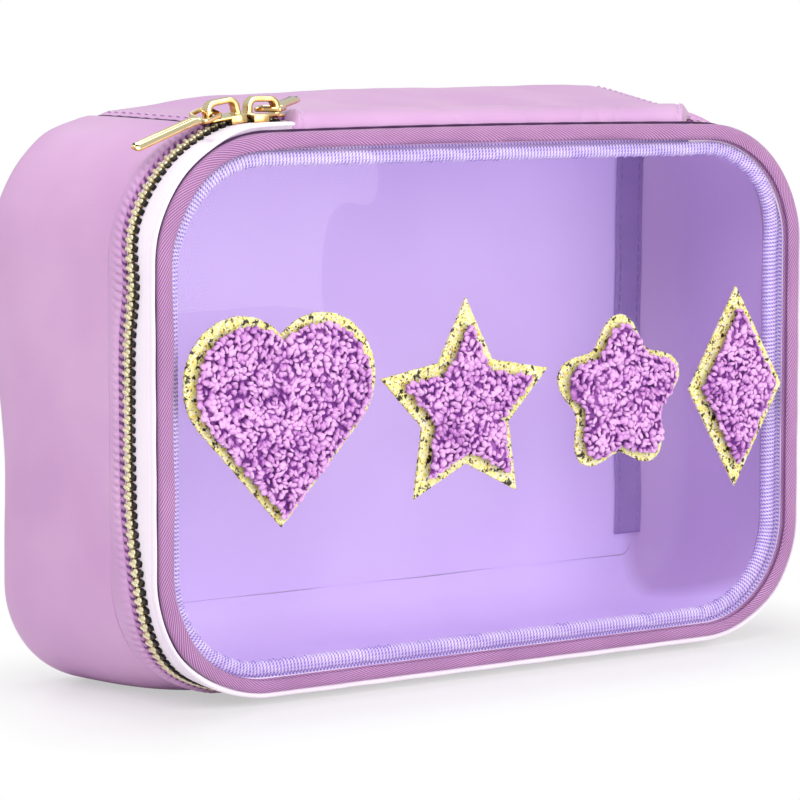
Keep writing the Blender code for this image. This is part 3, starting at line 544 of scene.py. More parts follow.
def swarm(template, origins, axes, scales=None):
    """Shell of many copies of one: origin + x * first axis + y * second axis + z * third axis."""
    points, faces, _ = template
    stretched = points[None] if scales is None else points[None] * scales[:, None, None]
    copies = origins[:, None] + np.einsum(
        "nvk,nkc->nvc", np.broadcast_to(stretched, (len(origins), *points.shape)), axes)
    offsets = np.arange(len(origins))[:, None, None] * len(points)
    faces = [(group[None] + offsets).reshape(-1, group.shape[1]) for group in faces]
    return copies.reshape(-1, 3), faces, False


def tube_shell(line, radius, around=6):
    """Closed tube round a line in the x and z plane."""
    side = sideways(line)
    angle = np.linspace(0, 2 * math.pi, around, endpoint=False)
    radius = np.broadcast_to(np.asarray(radius, float), len(line))[:, None]
    x = line[:, :1] + side[:, :1] * np.cos(angle) * radius
    z = line[:, 1:] + side[:, 1:] * np.cos(angle) * radius
    return shell(np.stack([x, np.sin(angle) * radius, z], -1))


def shrunk(outline, distance):
    """Closed outline moved inwards by a distance along the bisectors of its corners."""
    ahead = unit(np.roll(outline, -1, 0) - outline)
    behind = np.roll(ahead, 1, 0)
    area = np.sum(outline[:, 0] * np.roll(outline[:, 1], -1) - np.roll(outline[:, 0], -1) * outline[:, 1])
    side = 1 if area > 0 else -1
    normals = side * np.stack([-(ahead + behind)[:, 1], (ahead + behind)[:, 0]], -1)
    half = np.clip(np.sum(unit(normals) * side * np.stack([-ahead[:, 1], ahead[:, 0]], -1), -1), 0.4, 1)
    return outline + unit(normals) * (distance / half)[:, None]


def plate_shell(outline, low, high, bevel, origin, axes):
    """Plate of an outline in the x and y plane with bevelled edges, set in a frame of three axes."""
    rings = [np.column_stack([loop, np.full(len(loop), level)]) for loop, level in (
        (shrunk(outline, bevel), low), (outline, low + bevel), (outline, high - bevel),
        (shrunk(outline, bevel), high))]
    return shell(origin + np.stack(rings) @ axes)


class Graph:
    """Adds and links the nodes of one material or node group."""

    def __init__(self, tree):
        self.tree = tree

    def add(self, kind, inputs=None, **settings):
        """New node with its settings. An input takes a value, or a socket that is linked to it."""
        node = self.tree.nodes.new(kind)
        for key, value in settings.items():
            setattr(node, key, value)
        for key, value in (inputs or {}).items():
            if isinstance(value, bpy.types.NodeSocket):
                self.tree.links.new(value, node.inputs[key])
            else:
                node.inputs[key].default_value = value
        return node

    def math(self, operation, first, second=0.0, third=0.0):
        """Result of a Math node."""
        return self.add("ShaderNodeMath", {0: first, 1: second, 2: third}, operation=operation).outputs[0]

    def blend(self, factor, first, second, mode="MIX"):
        """Mix of two colours."""
        node = self.add("ShaderNodeMix", data_type="RGBA", blend_type=mode)
        for index, value in ((0, factor), (6, first), (7, second)):
            if isinstance(value, bpy.types.NodeSocket):
                self.tree.links.new(value, node.inputs[index])
            else:
                node.inputs[index].default_value = value if index == 0 else (*value[:3], 1)
        return node.outputs[2]

    def spread(self, value, low, high, new_low=0.0, new_high=1.0):
        """Value moved from one range to another and held inside it."""
        return self.add("ShaderNodeMapRange", {"Value": value, "From Min": low, "From Max": high,
                                               "To Min": new_low, "To Max": new_high}).outputs[0]

    def bump(self, height, distance):
        """Normal from a height."""
        return self.add("ShaderNodeBump", {"Height": height, "Distance": distance}).outputs["Normal"]

    def spot(self):
        """The shaded point's place on the object."""
        return self.add("ShaderNodeTexCoord").outputs["Object"]

    def noise(self, scale, detail, **more):
        """Fine to coarse noise on the point's place."""
        return self.add("ShaderNodeTexNoise", {"Vector": self.spot(), "Scale": scale, "Detail": detail,
                                               **more}).outputs["Fac"]

    def vector(self, operation, *vectors, **numbers):
        """Result of a Vector Math node."""
        inputs = {**dict(enumerate(vectors)), **numbers}
        node = self.add("ShaderNodeVectorMath", inputs, operation=operation)
        return node.outputs["Value" if operation == "LENGTH" else "Vector"]

    def recess(self):
        """The share of painted shade that a piece's points carry."""
        return self.add("ShaderNodeAttribute", attribute_name="hollow").outputs["Fac"]

    def seen(self):
        """1 for rays from the eye and through clear film, and 0 for all others."""
        rays = self.add("ShaderNodeLightPath")
        return self.math("MAXIMUM", rays.outputs["Is Camera Ray"], rays.outputs["Is Transmission Ray"])

    def surface(self, share, first, second):
        """The material's surface: one shader, and by a share another in its place."""
        both = self.add("ShaderNodeMixShader", {0: share, 1: first, 2: second})
        self.tree.links.new(both.outputs[0], self.tree.nodes["Material Output"].inputs["Surface"])


def new_group(name, inputs, outputs):
    """Empty node group with named number inputs, and outputs given as name and kind."""
    tree = bpy.data.node_groups.new(name, "ShaderNodeTree")
    for label, default in inputs.items():
        socket = tree.interface.new_socket(name=label, in_out="INPUT", socket_type="NodeSocketFloat")
        socket.default_value = default
    for label, kind in outputs.items():
        tree.interface.new_socket(name=label, in_out="OUTPUT", socket_type=f"NodeSocket{kind}")
    graph = Graph(tree)
    return tree, graph, graph.add("NodeGroupInput"), graph.add("NodeGroupOutput")


def finish_group(graph, output, **sockets):
    """Link the sockets to the group's outputs by name."""
    for label, socket in sockets.items():
        graph.tree.links.new(socket, output.inputs[label])


def grain_group():
    """Pebbled grain of coated fabric from rounded cells and fine noise, with a slow change of tone."""
    tree, graph, given, output = new_group("Pebbled grain", {"Cell size": 0.0006, "Tone size": 0.04},
                                           {"Height": "Float", "Tone": "Float"})
    cell = given.outputs["Cell size"]
    scale = graph.math("DIVIDE", 1.0, cell)
    pebbles = graph.add("ShaderNodeTexVoronoi", {"Vector": graph.spot(), "Scale": scale, "Randomness": 1.0},
                        feature="SMOOTH_F1")
    fine = graph.noise(graph.math("DIVIDE", 0.4, cell), 3.0)
    slow = graph.noise(graph.math("DIVIDE", 1.0, given.outputs["Tone size"]), 2.0)
    height = graph.math("ADD", graph.math("MULTIPLY", pebbles.outputs["Distance"], -0.7),
                        graph.math("MULTIPLY", fine, 0.5))
    finish_group(graph, output, Height=height, Tone=graph.spread(slow, 0.35, 0.65))
    return tree


def weave_group():
    """Ridges across a cloth and breaks between its threads, both sine waves on the cloth's own lengths.

    Ridge = sin(2 pi (u / along + v / across)), break = sin(2 pi (u / along - v / break)).
    """
    tree, graph, given, output = new_group(
        "Thread weave", {"Along": 0.001, "Across": 0.0006, "Break": 0.0004, "Break share": 0.3},
        {"Height": "Float", "Tone": "Float"})
    split = graph.add("ShaderNodeSeparateXYZ", {0: graph.add("ShaderNodeUVMap", uv_map="cloth").outputs[0]})
    along = graph.math("DIVIDE", split.outputs[0], given.outputs["Along"])
    turns = [graph.math(operation, along, graph.math("DIVIDE", split.outputs[1], given.outputs[pitch]))
             for operation, pitch in (("ADD", "Across"), ("SUBTRACT", "Break"))]
    ridge, gap = (graph.math("MULTIPLY_ADD", graph.math("SINE", graph.math("MULTIPLY", turn, 2 * math.pi)),
                             0.5, 0.5) for turn in turns)
    share = given.outputs["Break share"]
    height = graph.math("ADD", graph.math("MULTIPLY", ridge, graph.math("SUBTRACT", 1.0, share)),
                        graph.math("MULTIPLY", gap, share))
    finish_group(graph, output, Height=height, Tone=graph.spread(graph.noise(60.0, 4.0), 0.3, 0.7))
    return tree


def fleck_group():
    """Flakes lying at odd angles: a random value and a tilted normal for every cell."""
    tree, graph, given, output = new_group("Flecks", {"Fleck size": 0.0006, "Tilt": 0.6},
                                           {"Value": "Float", "Patch": "Float", "Normal": "Vector"})
    scale = graph.math("DIVIDE", 1.0, given.outputs["Fleck size"])
    flake = graph.add("ShaderNodeTexVoronoi", {"Vector": graph.spot(), "Scale": scale}).outputs["Color"]
    random_value = graph.add("ShaderNodeSeparateColor", {0: flake}).outputs[0]
    centred = graph.vector("SUBTRACT", flake, (0.5, 0.5, 0.5))
    tilted = graph.vector("SCALE", centred, Scale=given.outputs["Tilt"])
    facing = graph.add("ShaderNodeNewGeometry").outputs["Normal"]
    finish_group(graph, output, Value=random_value, Patch=graph.noise(520.0, 4.0, Roughness=0.62),
                 Normal=graph.vector("NORMALIZE", graph.vector("ADD", facing, tilted)))
    return tree


def metal_wear_group():
    """Fine brush marks and dull spots of handled metal, as a height and a mask."""
    tree, graph, given, output = new_group("Metal wear", {"Mark size": 0.0004},
                                           {"Height": "Float", "Dull": "Float"})
    marks, spots = (graph.noise(graph.math("DIVIDE", size, given.outputs["Mark size"]), detail)
                    for size, detail in ((1.0, 4.0), (0.15, 2.0)))
    finish_group(graph, output, Height=marks, Dull=graph.spread(spots, 0.4, 0.7))
    return tree


GROUP_MAKERS = {"Pebbled grain": grain_group, "Thread weave": weave_group, "Flecks": fleck_group,
                "Metal wear": metal_wear_group}


def new_material(name):
    """Material with its graph and its Principled shader."""
    made = bpy.data.materials.new(f"{name}_finish")
    made.use_nodes = True
    return made, Graph(made.node_tree), made.node_tree.nodes["Principled BSDF"]


def use_group(graph, name, **values):
    """Group node in a material. The group is built at its first use."""
    tree = bpy.data.node_groups.get(name) or GROUP_MAKERS[name]()
    inputs = {key.replace("_", " "): value for key, value in values.items()}
    return graph.add("ShaderNodeGroup", inputs, node_tree=tree)


def fill(graph, shader, **sockets):
    """Set or link the shader's inputs by their names, written with underscores."""
    for key, value in sockets.items():
        socket = shader.inputs[key.replace("_", " ")]
        if isinstance(value, bpy.types.NodeSocket):
            graph.tree.links.new(value, socket)
        else:
            socket.default_value = value


def leather_material(colours):
    """Coated fabric: pebbled grain, slightly satin, duller in places at random."""
    made, graph, shader = new_material("lilac_leather")
    grain = use_group(graph, "Pebbled grain", Cell_size=0.0005, Tone_size=0.035)
    tone = grain.outputs["Tone"]
    fill(graph, shader, Base_Color=graph.blend(tone, colours.leather_shade, colours.leather),
         Roughness=graph.spread(tone, 0, 1, 0.46, 0.36), Specular_IOR_Level=0.45,
         Coat_Weight=0.12, Coat_Roughness=0.35, Sheen_Weight=0.08, Sheen_Roughness=0.5,
         Normal=graph.bump(grain.outputs["Height"], 0.00006))
    return made


def woven_material(name, light, dark, along, across, thread_break, share, height, roughness, sheen=0.3,
                   glow=0.0):
    """Cloth whose ridges are lighter than its furrows: the furrows' colour is painted shade, mottled darker
    at random.
    """
    made, graph, shader = new_material(name)
    weave = use_group(graph, "Thread weave", Along=along, Across=across, Break=thread_break,
                      Break_share=share)
    painted_furrow_weave = graph.blend(graph.spread(weave.outputs["Height"], 0.12, 0.75), dark, light)
    painted_shade_and_mottle = graph.blend(graph.math("MULTIPLY", weave.outputs["Tone"], 0.18), painted_furrow_weave, dark, "MULTIPLY")
    fill(graph, shader, Base_Color=painted_shade_and_mottle, Emission_Color=painted_shade_and_mottle, Emission_Strength=glow, Roughness=roughness,
         Specular_IOR_Level=0.3, Sheen_Weight=sheen, Sheen_Roughness=0.4,
         Normal=graph.bump(weave.outputs["Height"], height))
    return made


def lining_material(colours):
    """Pale satin with a painted glow that brightens it, painted shade past the right seam, and painted fold
    shading at random.
    """
    made, graph, shader = new_material("lavender_lining")
    weave = use_group(graph, "Thread weave", Along=0.0005, Across=0.0005, Break=0.0005, Break_share=0.5)
    seam = middle("lining_seam_strip_right")[X] + SEAM_TAPE_SHIFT
    across = graph.add("ShaderNodeSeparateXYZ", {0: graph.spot()}).outputs[0]
    # Painted shade past the right seam, where the lining turns from the light.
    turned = graph.spread(across, seam - 1.5 * MM, seam + 4 * MM)
    painted_fold_shade = graph.spread(graph.noise(14.0, 2.0), 0.35, 0.7)
    plain = graph.blend(painted_fold_shade, colours.lining, srgb(206, 185, 232))
    shade = graph.blend(turned, plain, colours.lining_shade)
    # The glow is painted light.
    fill(graph, shader, Base_Color=shade, Emission_Color=shade, Emission_Strength=0.26, Roughness=0.55,
         Specular_IOR_Level=0.3, Normal=graph.bump(weave.outputs["Height"], 0.00001))
    return made


def film_material(_):
    """Clear film: glass for the eye, and open to light that falls through it. It takes no set colour."""
    made, graph, shader = new_material("clear_film")
    tint = graph.blend(graph.noise(30.0, 2.0), (0.98, 0.97, 1.0), (1.0, 1.0, 1.0))
    fill(graph, shader, Base_Color=tint, Transmission_Weight=1.0, IOR=1.2, Roughness=0.0,
         Specular_IOR_Level=0.9)
    clear = graph.add("ShaderNodeBsdfTransparent", {"Color": (0.99, 0.98, 1.0, 1)})
    rays = graph.add("ShaderNodeLightPath")
    passing = graph.math("MAXIMUM", rays.outputs["Is Shadow Ray"], rays.outputs["Is Diffuse Ray"])
    graph.surface(passing, shader.outputs[0], clear.outputs[0])
    return made


def metal_material(name, bright, middle_tone, recess, roughness, dull_roughness, metallic):
    """Plated metal: a bright top, amber sides and dark undersides and grooves, all painted shade from each
    point's share, with fine marks.
    """
    made, graph, shader = new_material(name)
    wear = use_group(graph, "Metal wear")
    painted_shade_and_mottle = graph.math("ADD", graph.recess(), graph.math("MULTIPLY", wear.outputs["Dull"], 0.08))
    shade = graph.blend(graph.spread(painted_shade_and_mottle, 0.05, 0.5), bright, middle_tone)
    shade = graph.blend(graph.spread(painted_shade_and_mottle, 0.5, 0.95), shade, recess)
    fill(graph, shader, Base_Color=shade, Metallic=metallic,
         Roughness=graph.spread(wear.outputs["Dull"], 0, 1, roughness, dull_roughness),
         Normal=graph.bump(wear.outputs["Height"], 0.000004))
    return made


def glitter_material(colours):
    """Glitter sheet: pale gold flakes at odd angles, some amber or brown, and clumps of dark ones."""
    made, graph, shader = new_material("gold_glitter")
    flecks = use_group(graph, "Flecks", Fleck_size=0.0005, Tilt=0.35)
    ramp = graph.add("ShaderNodeValToRGB", {0: flecks.outputs["Value"]})
    stops = ramp.color_ramp
    stops.interpolation = "CONSTANT"
    stops.elements[0].color = (*srgb(130, 96, 20), 1)
    stops.elements[1].position, stops.elements[1].color = 0.74, (*srgb(255, 254, 226), 1)
    for position, shade in ((0.06, srgb(214, 176, 84)), (0.1, srgb(232, 220, 110)), (0.3, colours.glitter)):
        stops.elements.new(position).color = (*shade, 1)
    clump = graph.spread(flecks.outputs["Patch"], 0.395, 0.44)
    shade = graph.blend(clump, srgb(44, 34, 12), ramp.outputs[0])
    fill(graph, shader, Base_Color=shade, Metallic=0.1, Roughness=0.3, Normal=flecks.outputs["Normal"])
    return made


def yarn_material(colours):
    """Looped yarn: soft fuzz, painted shade where it lies deep and a painted highlight at its tops."""
    made, graph, shader = new_material("orchid_pile")
    tint = graph.spread(graph.noise(210.0, 2.0), 0.35, 0.65, -0.16, 0.16)
    painted_yarn_shade = graph.math("ADD", graph.recess(), tint)
    base = graph.blend(graph.spread(painted_yarn_shade, 0.25, 0.75), colours.pile, colours.pile_shade)
    # Painted highlight on the tops of the loops.
    lit = graph.blend(graph.spread(painted_yarn_shade, -0.05, 0.3), srgb(250, 198, 250), base)
    fill(graph, shader, Base_Color=lit, Roughness=0.85, Specular_IOR_Level=0.2, Sheen_Weight=0.35,
         Sheen_Roughness=0.35, Normal=graph.bump(graph.noise(4200.0, 3.0), 0.00012))
    return made


def foam_material(colours):
    """Open-celled padding."""
    made, graph, shader = new_material("white_foam")
    grain = use_group(graph, "Pebbled grain", Cell_size=0.0009, Tone_size=0.02)
    fill(graph, shader, Base_Color=graph.blend(grain.outputs["Tone"], srgb(225, 220, 228), colours.foam),
         Roughness=0.95, Normal=graph.bump(grain.outputs["Height"], 0.0002))
    return made


def cloths(colours):
    """The cloths and cords, each as the values of its woven material.

    These are the colours of its ridges and of its furrows, which is painted shade, the pitch of the ridges
    along and across, the pitch of the thread breaks and their share, relief, roughness, and for some the
    sheen and the painted glow.
    """
    return {
        "mauve_twill": (colours.binding, colours.binding_shade, 0.00125, -0.00064, -0.0006, 0.15, 0.00012,
                        0.6),
        # The zipper tape's glow of 0.09 is painted light that brightens it.
        "white_zip_tape": (colours.tape, srgb(248, 232, 250), 0.0006, 0.0007, 0.0006, 0.5, 0.00005, 0.75, 0.6,
                           0.09),
        "lavender_braid": (colours.braid, colours.braid_shade, 0.00115, 0.012, 0.0009, 0.4, 0.00015, 0.6,
                           0.2),
        "seam_strip_cloth": (colours.seam, srgb(150, 122, 186), 0.0007, 0.0009, 0.0007, 0.5, 0.00005, 0.6),
        "sewing_thread": (colours.thread, srgb(196, 160, 200), 0.0004, 0.0004, 0.0004, 0.5, 0.00002, 0.5),
        "seam_cord": (colours.cord, srgb(60, 26, 70), 0.0006, 0.0008, 0.0006, 0.5, 0.00003, 0.7),
        # The hem cord's furrow colour is painted shade in the furrows of its twist.
        "hem_cord": (srgb(208, 150, 206), srgb(104, 58, 122), PUCKER_PITCH, 2 * PUCKER_PITCH, 0.0004, 0.15,
                     0.00003, 0.7),
    }


def metals(colours):
    """The metals' bright top colour, painted side shade and painted dark shade, bright and dull roughness,
    and metallic share.
    """
    return {
        "pale_gold": (colours.gold, colours.amber, colours.recess, 0.12, 0.24, 1.0),
        "antique_brass": (colours.brass, srgb(196, 164, 92), colours.recess, 0.25, 0.45, 0.5),
    }


OTHER_FINISHES = {"lilac_leather": leather_material, "lavender_lining": lining_material,
                  "clear_film": film_material, "gold_glitter": glitter_material,
                  "orchid_pile": yarn_material, "white_foam": foam_material}


def finish(name):
    """The case's material of that name, made at its first use."""
    if f"{name}_finish" in bpy.data.materials:
        return bpy.data.materials[f"{name}_finish"]
    colours = bpy.context.scene.zip_case_colours
    for table, maker in ((cloths(colours), woven_material), (metals(colours), metal_material)):
        if name in table:
            return maker(name, *table[name])
    return OTHER_FINISHES[name](colours)


SLIDER_LENGTH = reach("slider_b", HIGH, X) - reach("slider_b", LOW, X)
SLIDER_SPACING = 0.6 * MM
PULL_LENGTH = 26.2 * MM
PULL_A_DROP = math.radians(11)
PULL_A_ROLL = math.radians(16)
PULL_B_SWING = math.radians(40)
PULL_B_LIFT = math.radians(5)
SLIDER_B_ALONG = -JOINTS["slider_b_track"]["pos_m"][X]
SLIDER_A_ALONG = SLIDER_B_ALONG + SLIDER_LENGTH + SLIDER_SPACING
TRACK_LEFT_ALONG = 0.6 * MM - reach("hinge_strip_rear", LOW, X)
TRACK_RIGHT_X = reach("hinge_strip_rear", HIGH, X) + 0.6 * MM
CHAIN_LEFT_ALONG = -middle("zipper_stop_left")[X]
CHAIN_RIGHT_X = middle("zipper_stop_right_rear")[X] + 2.2 * MM
SEAM_ALONG = float(length_at(1 + PANEL_SEAM_ANGLE / (math.pi / 2)))


def fit(piece, body, slot, *nodes):
    """Set a finished piece on its body, in the place of its nodes."""
    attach(piece, body)
    if nodes:
        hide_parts(*nodes)
    return piece


def sewn(name, points, body, slot, *nodes, look=None, **grid):
    """Sheet piece set on its body, in its slot's material unless another look is named."""
    return fit(sheet_piece(name, points, finish(look or slot), **grid), body, slot, *nodes)


def assembled(name, shells, body, slot, *nodes, look=None, **details):
    """Piece of several shells set on its body, in its slot's material unless another look is named."""
    return fit(joined_piece(name, shells, finish(look or slot), **details), body, slot, *nodes)


def turned(first, second, angle):
    """Two directions turned in their plane: first cos a + second sin a, and second cos a - first sin a."""
    cosine, sine = math.cos(angle), math.sin(angle)
    return first * cosine + second * sine, second * cosine - first * sine


def spaced(start, end, pitch):
    """Even steps from start to end, about a pitch apart."""
    return np.linspace(start, end, max(2, int(round((end - start) / pitch)) + 1))


def round_rim(pitch):
    """Even steps once round the rim, as a column."""
    return spaced(0, RIM_LENGTH, pitch)[:-1, None]


def circle(count):
    """Even angles once round."""
    return np.linspace(0, 2 * math.pi, count, endpoint=False)


def wall_line():
    """Outer line of the leather's section: straight, then depth c + r sin a and inset r (1 - cos a).

    It gives the depths, the insets, and the parts of the inward direction along each of the two.
    """
    centre = CASE_DEPTH - BACK_EDGE_ROUNDING
    straight = np.linspace(GUSSET_FRONT, centre, 30, endpoint=False)
    turn = np.linspace(0, math.pi / 2, 10)
    still = np.zeros_like(straight)
    return (np.concatenate([straight, centre + BACK_EDGE_ROUNDING * np.sin(turn)]),
            np.concatenate([still, BACK_EDGE_ROUNDING * (1 - np.cos(turn))]),
            np.concatenate([still, -np.sin(turn)]), np.concatenate([still + 1, np.cos(turn)]))


def wall_press(base, along, depth):
    """How far the leather is pulled in: soft swells, and dips at the seams, the hem and the back edge."""
    sizes = settings()
    swell = sizes.wall_swell * waves(base, 0.055, 11)
    fine = 0.25 * sizes.wall_swell * waves(base, 0.016, 12)
    seams = sum(dip(along - seam, SEAM_PULL_WIDTH)
                for seam in (SEAM_ALONG, -SEAM_ALONG, RIM_LENGTH - SEAM_ALONG))
    edges = 0.3 * dip(depth - GUSSET_FRONT, 1.5 * MM) + 0.7 * dip(depth - CASE_DEPTH, 1.2 * MM)
    calm = 1 - 0.7 * np.clip(edges, 0, 1)
    return (swell + fine) * calm + sizes.seam_valley * np.maximum(seams, edges)


def wall_piece(name, start, end, node):
    """Leather wall: its outer line along the rim, and the same line a leather's thickness further in."""
    along = spaced(start, end, 2.2 * MM)[:, None]
    depth, inset, back_part, side_part = wall_line()
    press = wall_press(place(along, depth, inset), along, depth)
    far = press + LEATHER - 0.5 * np.clip(press, 0, LEATHER)
    outer, inner = (place(along, depth + shift * back_part, inset + shift * side_part)
                    for shift in (press, far))
    points = settle(np.concatenate([outer, inner[:, ::-1]], 1))
    return sewn(name, points, "case", "lilac_leather", node, sharp=50)


def panel_grid(size_depth, inset, sharpening=0.0, rows=64, columns=72):
    """Points that fill the rounded rectangle: left * (1 - t) + right * t, row by row from top to bottom."""
    station = np.linspace(1, 4, rows)
    left = rim(station, size_depth, inset, sharpening)
    right = left * (-1, 1, 1)
    share = np.linspace(0, 1, columns)[None, :, None]
    return left[:, None] * (1 - share) + right[:, None] * share


def panel_piece(name, node, slot, body, size_depth, inset, front, back, bulge=None, sharpening=0.0,
                sagging=True):
    """Flat piece that fills the rounded rectangle. The bulge moves both its faces backwards."""
    grid = panel_grid(size_depth, inset, sharpening)
    shift = 0.0 if bulge is None else bulge(grid)
    faces = []
    for depth in (front, back):
        face = grid.copy()
        face[..., Y] = SEAM_Y + depth + shift
        faces.append(settle(face, sagging))
    return sewn(name, np.concatenate([faces[0], faces[1][:, ::-1]], 1), body, slot, node, sharp=50)


def back_bulge(grid):
    """Soft crown of the back panel: high in the middle and drawn in along its seam."""
    half, top = CASE_WIDTH / 2 + BACK_SPREAD, CASE_HEIGHT + BACK_RISE
    across = np.abs(grid[..., X]) / half
    upright = np.abs(grid[..., Z] / (top / 2) - 1)
    reach_out = np.maximum(across, upright)
    swell = settings().wall_swell * waves(grid, 0.06, 21)
    return (0.9 * MM * (1 - across ** 4) * (1 - upright ** 4) + swell * (1 - reach_out ** 6)
            - 0.8 * settings().seam_valley * smooth_step((reach_out - 0.9) / 0.06))


def thread_row(path, outwards):
    """Stitches along a line of points: a low arch of thread for each pitch of its length."""
    sizes = settings()
    walked = lengths_walked(path)
    count = int(walked[-1] / sizes.stitch_pitch)
    wanted = (np.arange(count) + 0.5) * walked[-1] / count
    origins = values_at(wanted, walked, path)
    up = unit(values_at(wanted, walked, outwards))
    step = 0.3 * sizes.stitch_pitch
    ahead = unit(values_at(wanted + step, walked, path) - values_at(wanted - step, walked, path))
    beside = np.cross(up, ahead)
    arch = np.linspace(-1, 1, 7)
    line = np.stack([0.36 * sizes.stitch_pitch * arch, sizes.stitch_radius * (1.2 - 2.4 * arch ** 4)], -1)
    template = tube_shell(line, sizes.stitch_radius * (1 - 0.35 * arch ** 4))
    return swarm(template, origins, np.stack([ahead, beside, np.cross(ahead, beside)], 1))


def make_walls():
    """Gusset, top panel between its seams, back panel, and the thread and the dark cords of the two top
    seams, which stand for the shadow in their valleys.
    """
    gap = SEAT_GAP / 2
    wall_piece("case_gusset", SEAM_ALONG + gap, RIM_LENGTH - SEAM_ALONG - gap, "gusset")
    wall_piece("case_top_panel", -SEAM_ALONG + gap, SEAM_ALONG - gap, "top_panel")
    panel_piece("case_back_panel", "back_panel", "lilac_leather", "case", CASE_DEPTH,
                BACK_EDGE_ROUNDING + SEAT_GAP, CASE_DEPTH - LEATHER, CASE_DEPTH, back_bulge)
    rows = []
    depth = np.linspace(GUSSET_FRONT + 2 * MM, CASE_DEPTH - BACK_EDGE_ROUNDING, 60)
    for side in (1, -1):
        along = np.full_like(depth, side * (SEAM_ALONG - THREAD_INSET))
        press = wall_press(place(along, depth), along, depth)
        rows.append(thread_row(settle(place(along, depth, press)), rim_frames(along, depth)[3]))
    assembled("case_top_seam_thread", rows, "case", "lilac_leather", look="sewing_thread")
    depth = spaced(GUSSET_FRONT + 1 * MM, CASE_DEPTH - BACK_EDGE_ROUNDING, 0.6 * MM)[:, None]
    turn = circle(8)
    radius = 0.4 * MM * (1 + 0.3 * np.sin(depth / (0.7 * MM)) * np.sin(depth / (4.1 * MM) + turn))
    for name, along in (("left", SEAM_ALONG), ("right", -SEAM_ALONG)):
        press = wall_press(place(along + 0 * depth, depth), along, depth)
        points = place(along + radius * np.cos(turn), depth, press + radius * np.sin(turn))
        sewn(f"case_top_seam_{name}", settle(points), "case", "lilac_leather", look="seam_cord")


def make_padding():
    """Foam ring between the walls and the lining, and the foam board in the back."""
    front, back = GUSSET_FRONT + SEAT_GAP, CASE_DEPTH - BACK_EDGE_ROUNDING
    near = LEATHER + SEAT_GAP
    section = resample(rounded_loop(rectangle(front, near, back, near + FOAM), 0.3 * MM), 60)
    along = round_rim(3 * MM)
    seams = sum(dip(along - seam, SEAM_PULL_WIDTH) for seam in (SEAM_ALONG, RIM_LENGTH - SEAM_ALONG))
    points = place(along, section[:, 0], section[:, 1] + 0.5 * MM * seams)
    ring = sewn("case_padding_ring", settle(points), "case", "white_foam", "gusset_stiffener", wrap_rows=True)
    board_back = CASE_DEPTH - LEATHER - SEAT_GAP
    board = panel_piece("case_padding_board", "back_stiffener", "white_foam", "case", CASE_DEPTH,
                        BACK_EDGE_ROUNDING + LEATHER, board_back - FOAM, board_back)


def wall_lining():
    """Lining round the walls: straight, then depth c + r sin a and inset e - r cos a at its rear corner."""
    rear, front = (reach("gusset_lining", end, Y) - SEAM_Y for end in (HIGH, LOW))
    centre = rear - LINING_EDGE_ROUNDING
    turn = np.linspace(0, math.pi / 2, 14)
    straight = np.linspace(front, centre, 20, endpoint=False)
    sharpening = np.concatenate([0 * straight, LINING_SHARPENING * turn / (math.pi / 2)])
    along = round_rim(2.5 * MM)
    sides = []
    for thickness in (0.0, LINING):
        radius = LINING_EDGE_ROUNDING - thickness
        depth = np.concatenate([straight, centre + radius * np.sin(turn)])
        inset = np.concatenate([0 * straight + LINING_INSET + thickness,
                                LINING_INSET + LINING_EDGE_ROUNDING - radius * np.cos(turn)])
        ripple = 0.18 * MM * waves(place(along, depth, inset), 0.03, 31)
        sides.append(place(along, depth, inset + ripple + 0.1 * MM, sharpening))
    points = settle(np.concatenate([sides[0], sides[1][:, ::-1]], 1))
    sewn("case_wall_lining", points, "case", "lavender_lining", "gusset_lining", wrap_rows=True, sharp=60)


def back_slack(grid):
    """Shallow waves of the slack cloth."""
    return -0.2 * MM - 0.16 * MM * waves(grid, 0.04, 32)


def seam_tape(side):
    """Tape over a seam of the back lining: its section carried upwards and bent by sines of the height."""
    node = f"lining_seam_strip_{side}"
    low, high = (corner + Vector((SEAM_TAPE_SHIFT * (side == "right"), 0, 0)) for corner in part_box(node))
    z = np.linspace(low[Z], high[Z] + 4 * MM, 120)[:, None]
    curl = -np.clip(z - high[Z], 0, 1) ** 2 / LINING_EDGE_ROUNDING
    outline = resample(rounded_loop([(low[X], high[Y]), (high[X], high[Y]), (high[X], low[Y]),
                                     (low[X], low[Y])], 0.25 * MM), 40)
    bend = 0.25 * MM * np.sin(z / (17 * MM)) + 0.15 * MM * np.sin(z / (5.3 * MM) + 1)
    points = together(outline[:, 0] + bend,
                      outline[:, 1] - 0.25 * MM + curl + 0.1 * MM * np.sin(z / (7 * MM)), z)
    sewn(f"case_seam_tape_{side}", settle(points), "case", "seam_strip_cloth", node)
    rows = []
    for x in (low[X] + 1.6 * MM, high[X] - 1.6 * MM):
        path = together(x + bend[:, 0], low[Y] - 0.27 * MM + curl[:, 0], z[:, 0])
        rows.append(thread_row(settle(path), np.broadcast_to((0.0, -1.0, 0.0), path.shape)))
    assembled(f"case_seam_tape_thread_{side}", rows, "case", "seam_strip_cloth")


def make_lining():
    """Lining round the walls with its soft rear corner, back lining, and the tapes over its two seams."""
    wall_lining()
    rear = reach("gusset_lining", HIGH, Y) - SEAM_Y
    panel_piece("case_back_lining", "back_lining", "lavender_lining", "case", rear,
                LINING_INSET + LINING_EDGE_ROUNDING + SEAT_GAP, rear - LINING, rear, back_slack,
                LINING_SHARPENING)
    for side in ("left", "right"):
        seam_tape(side)


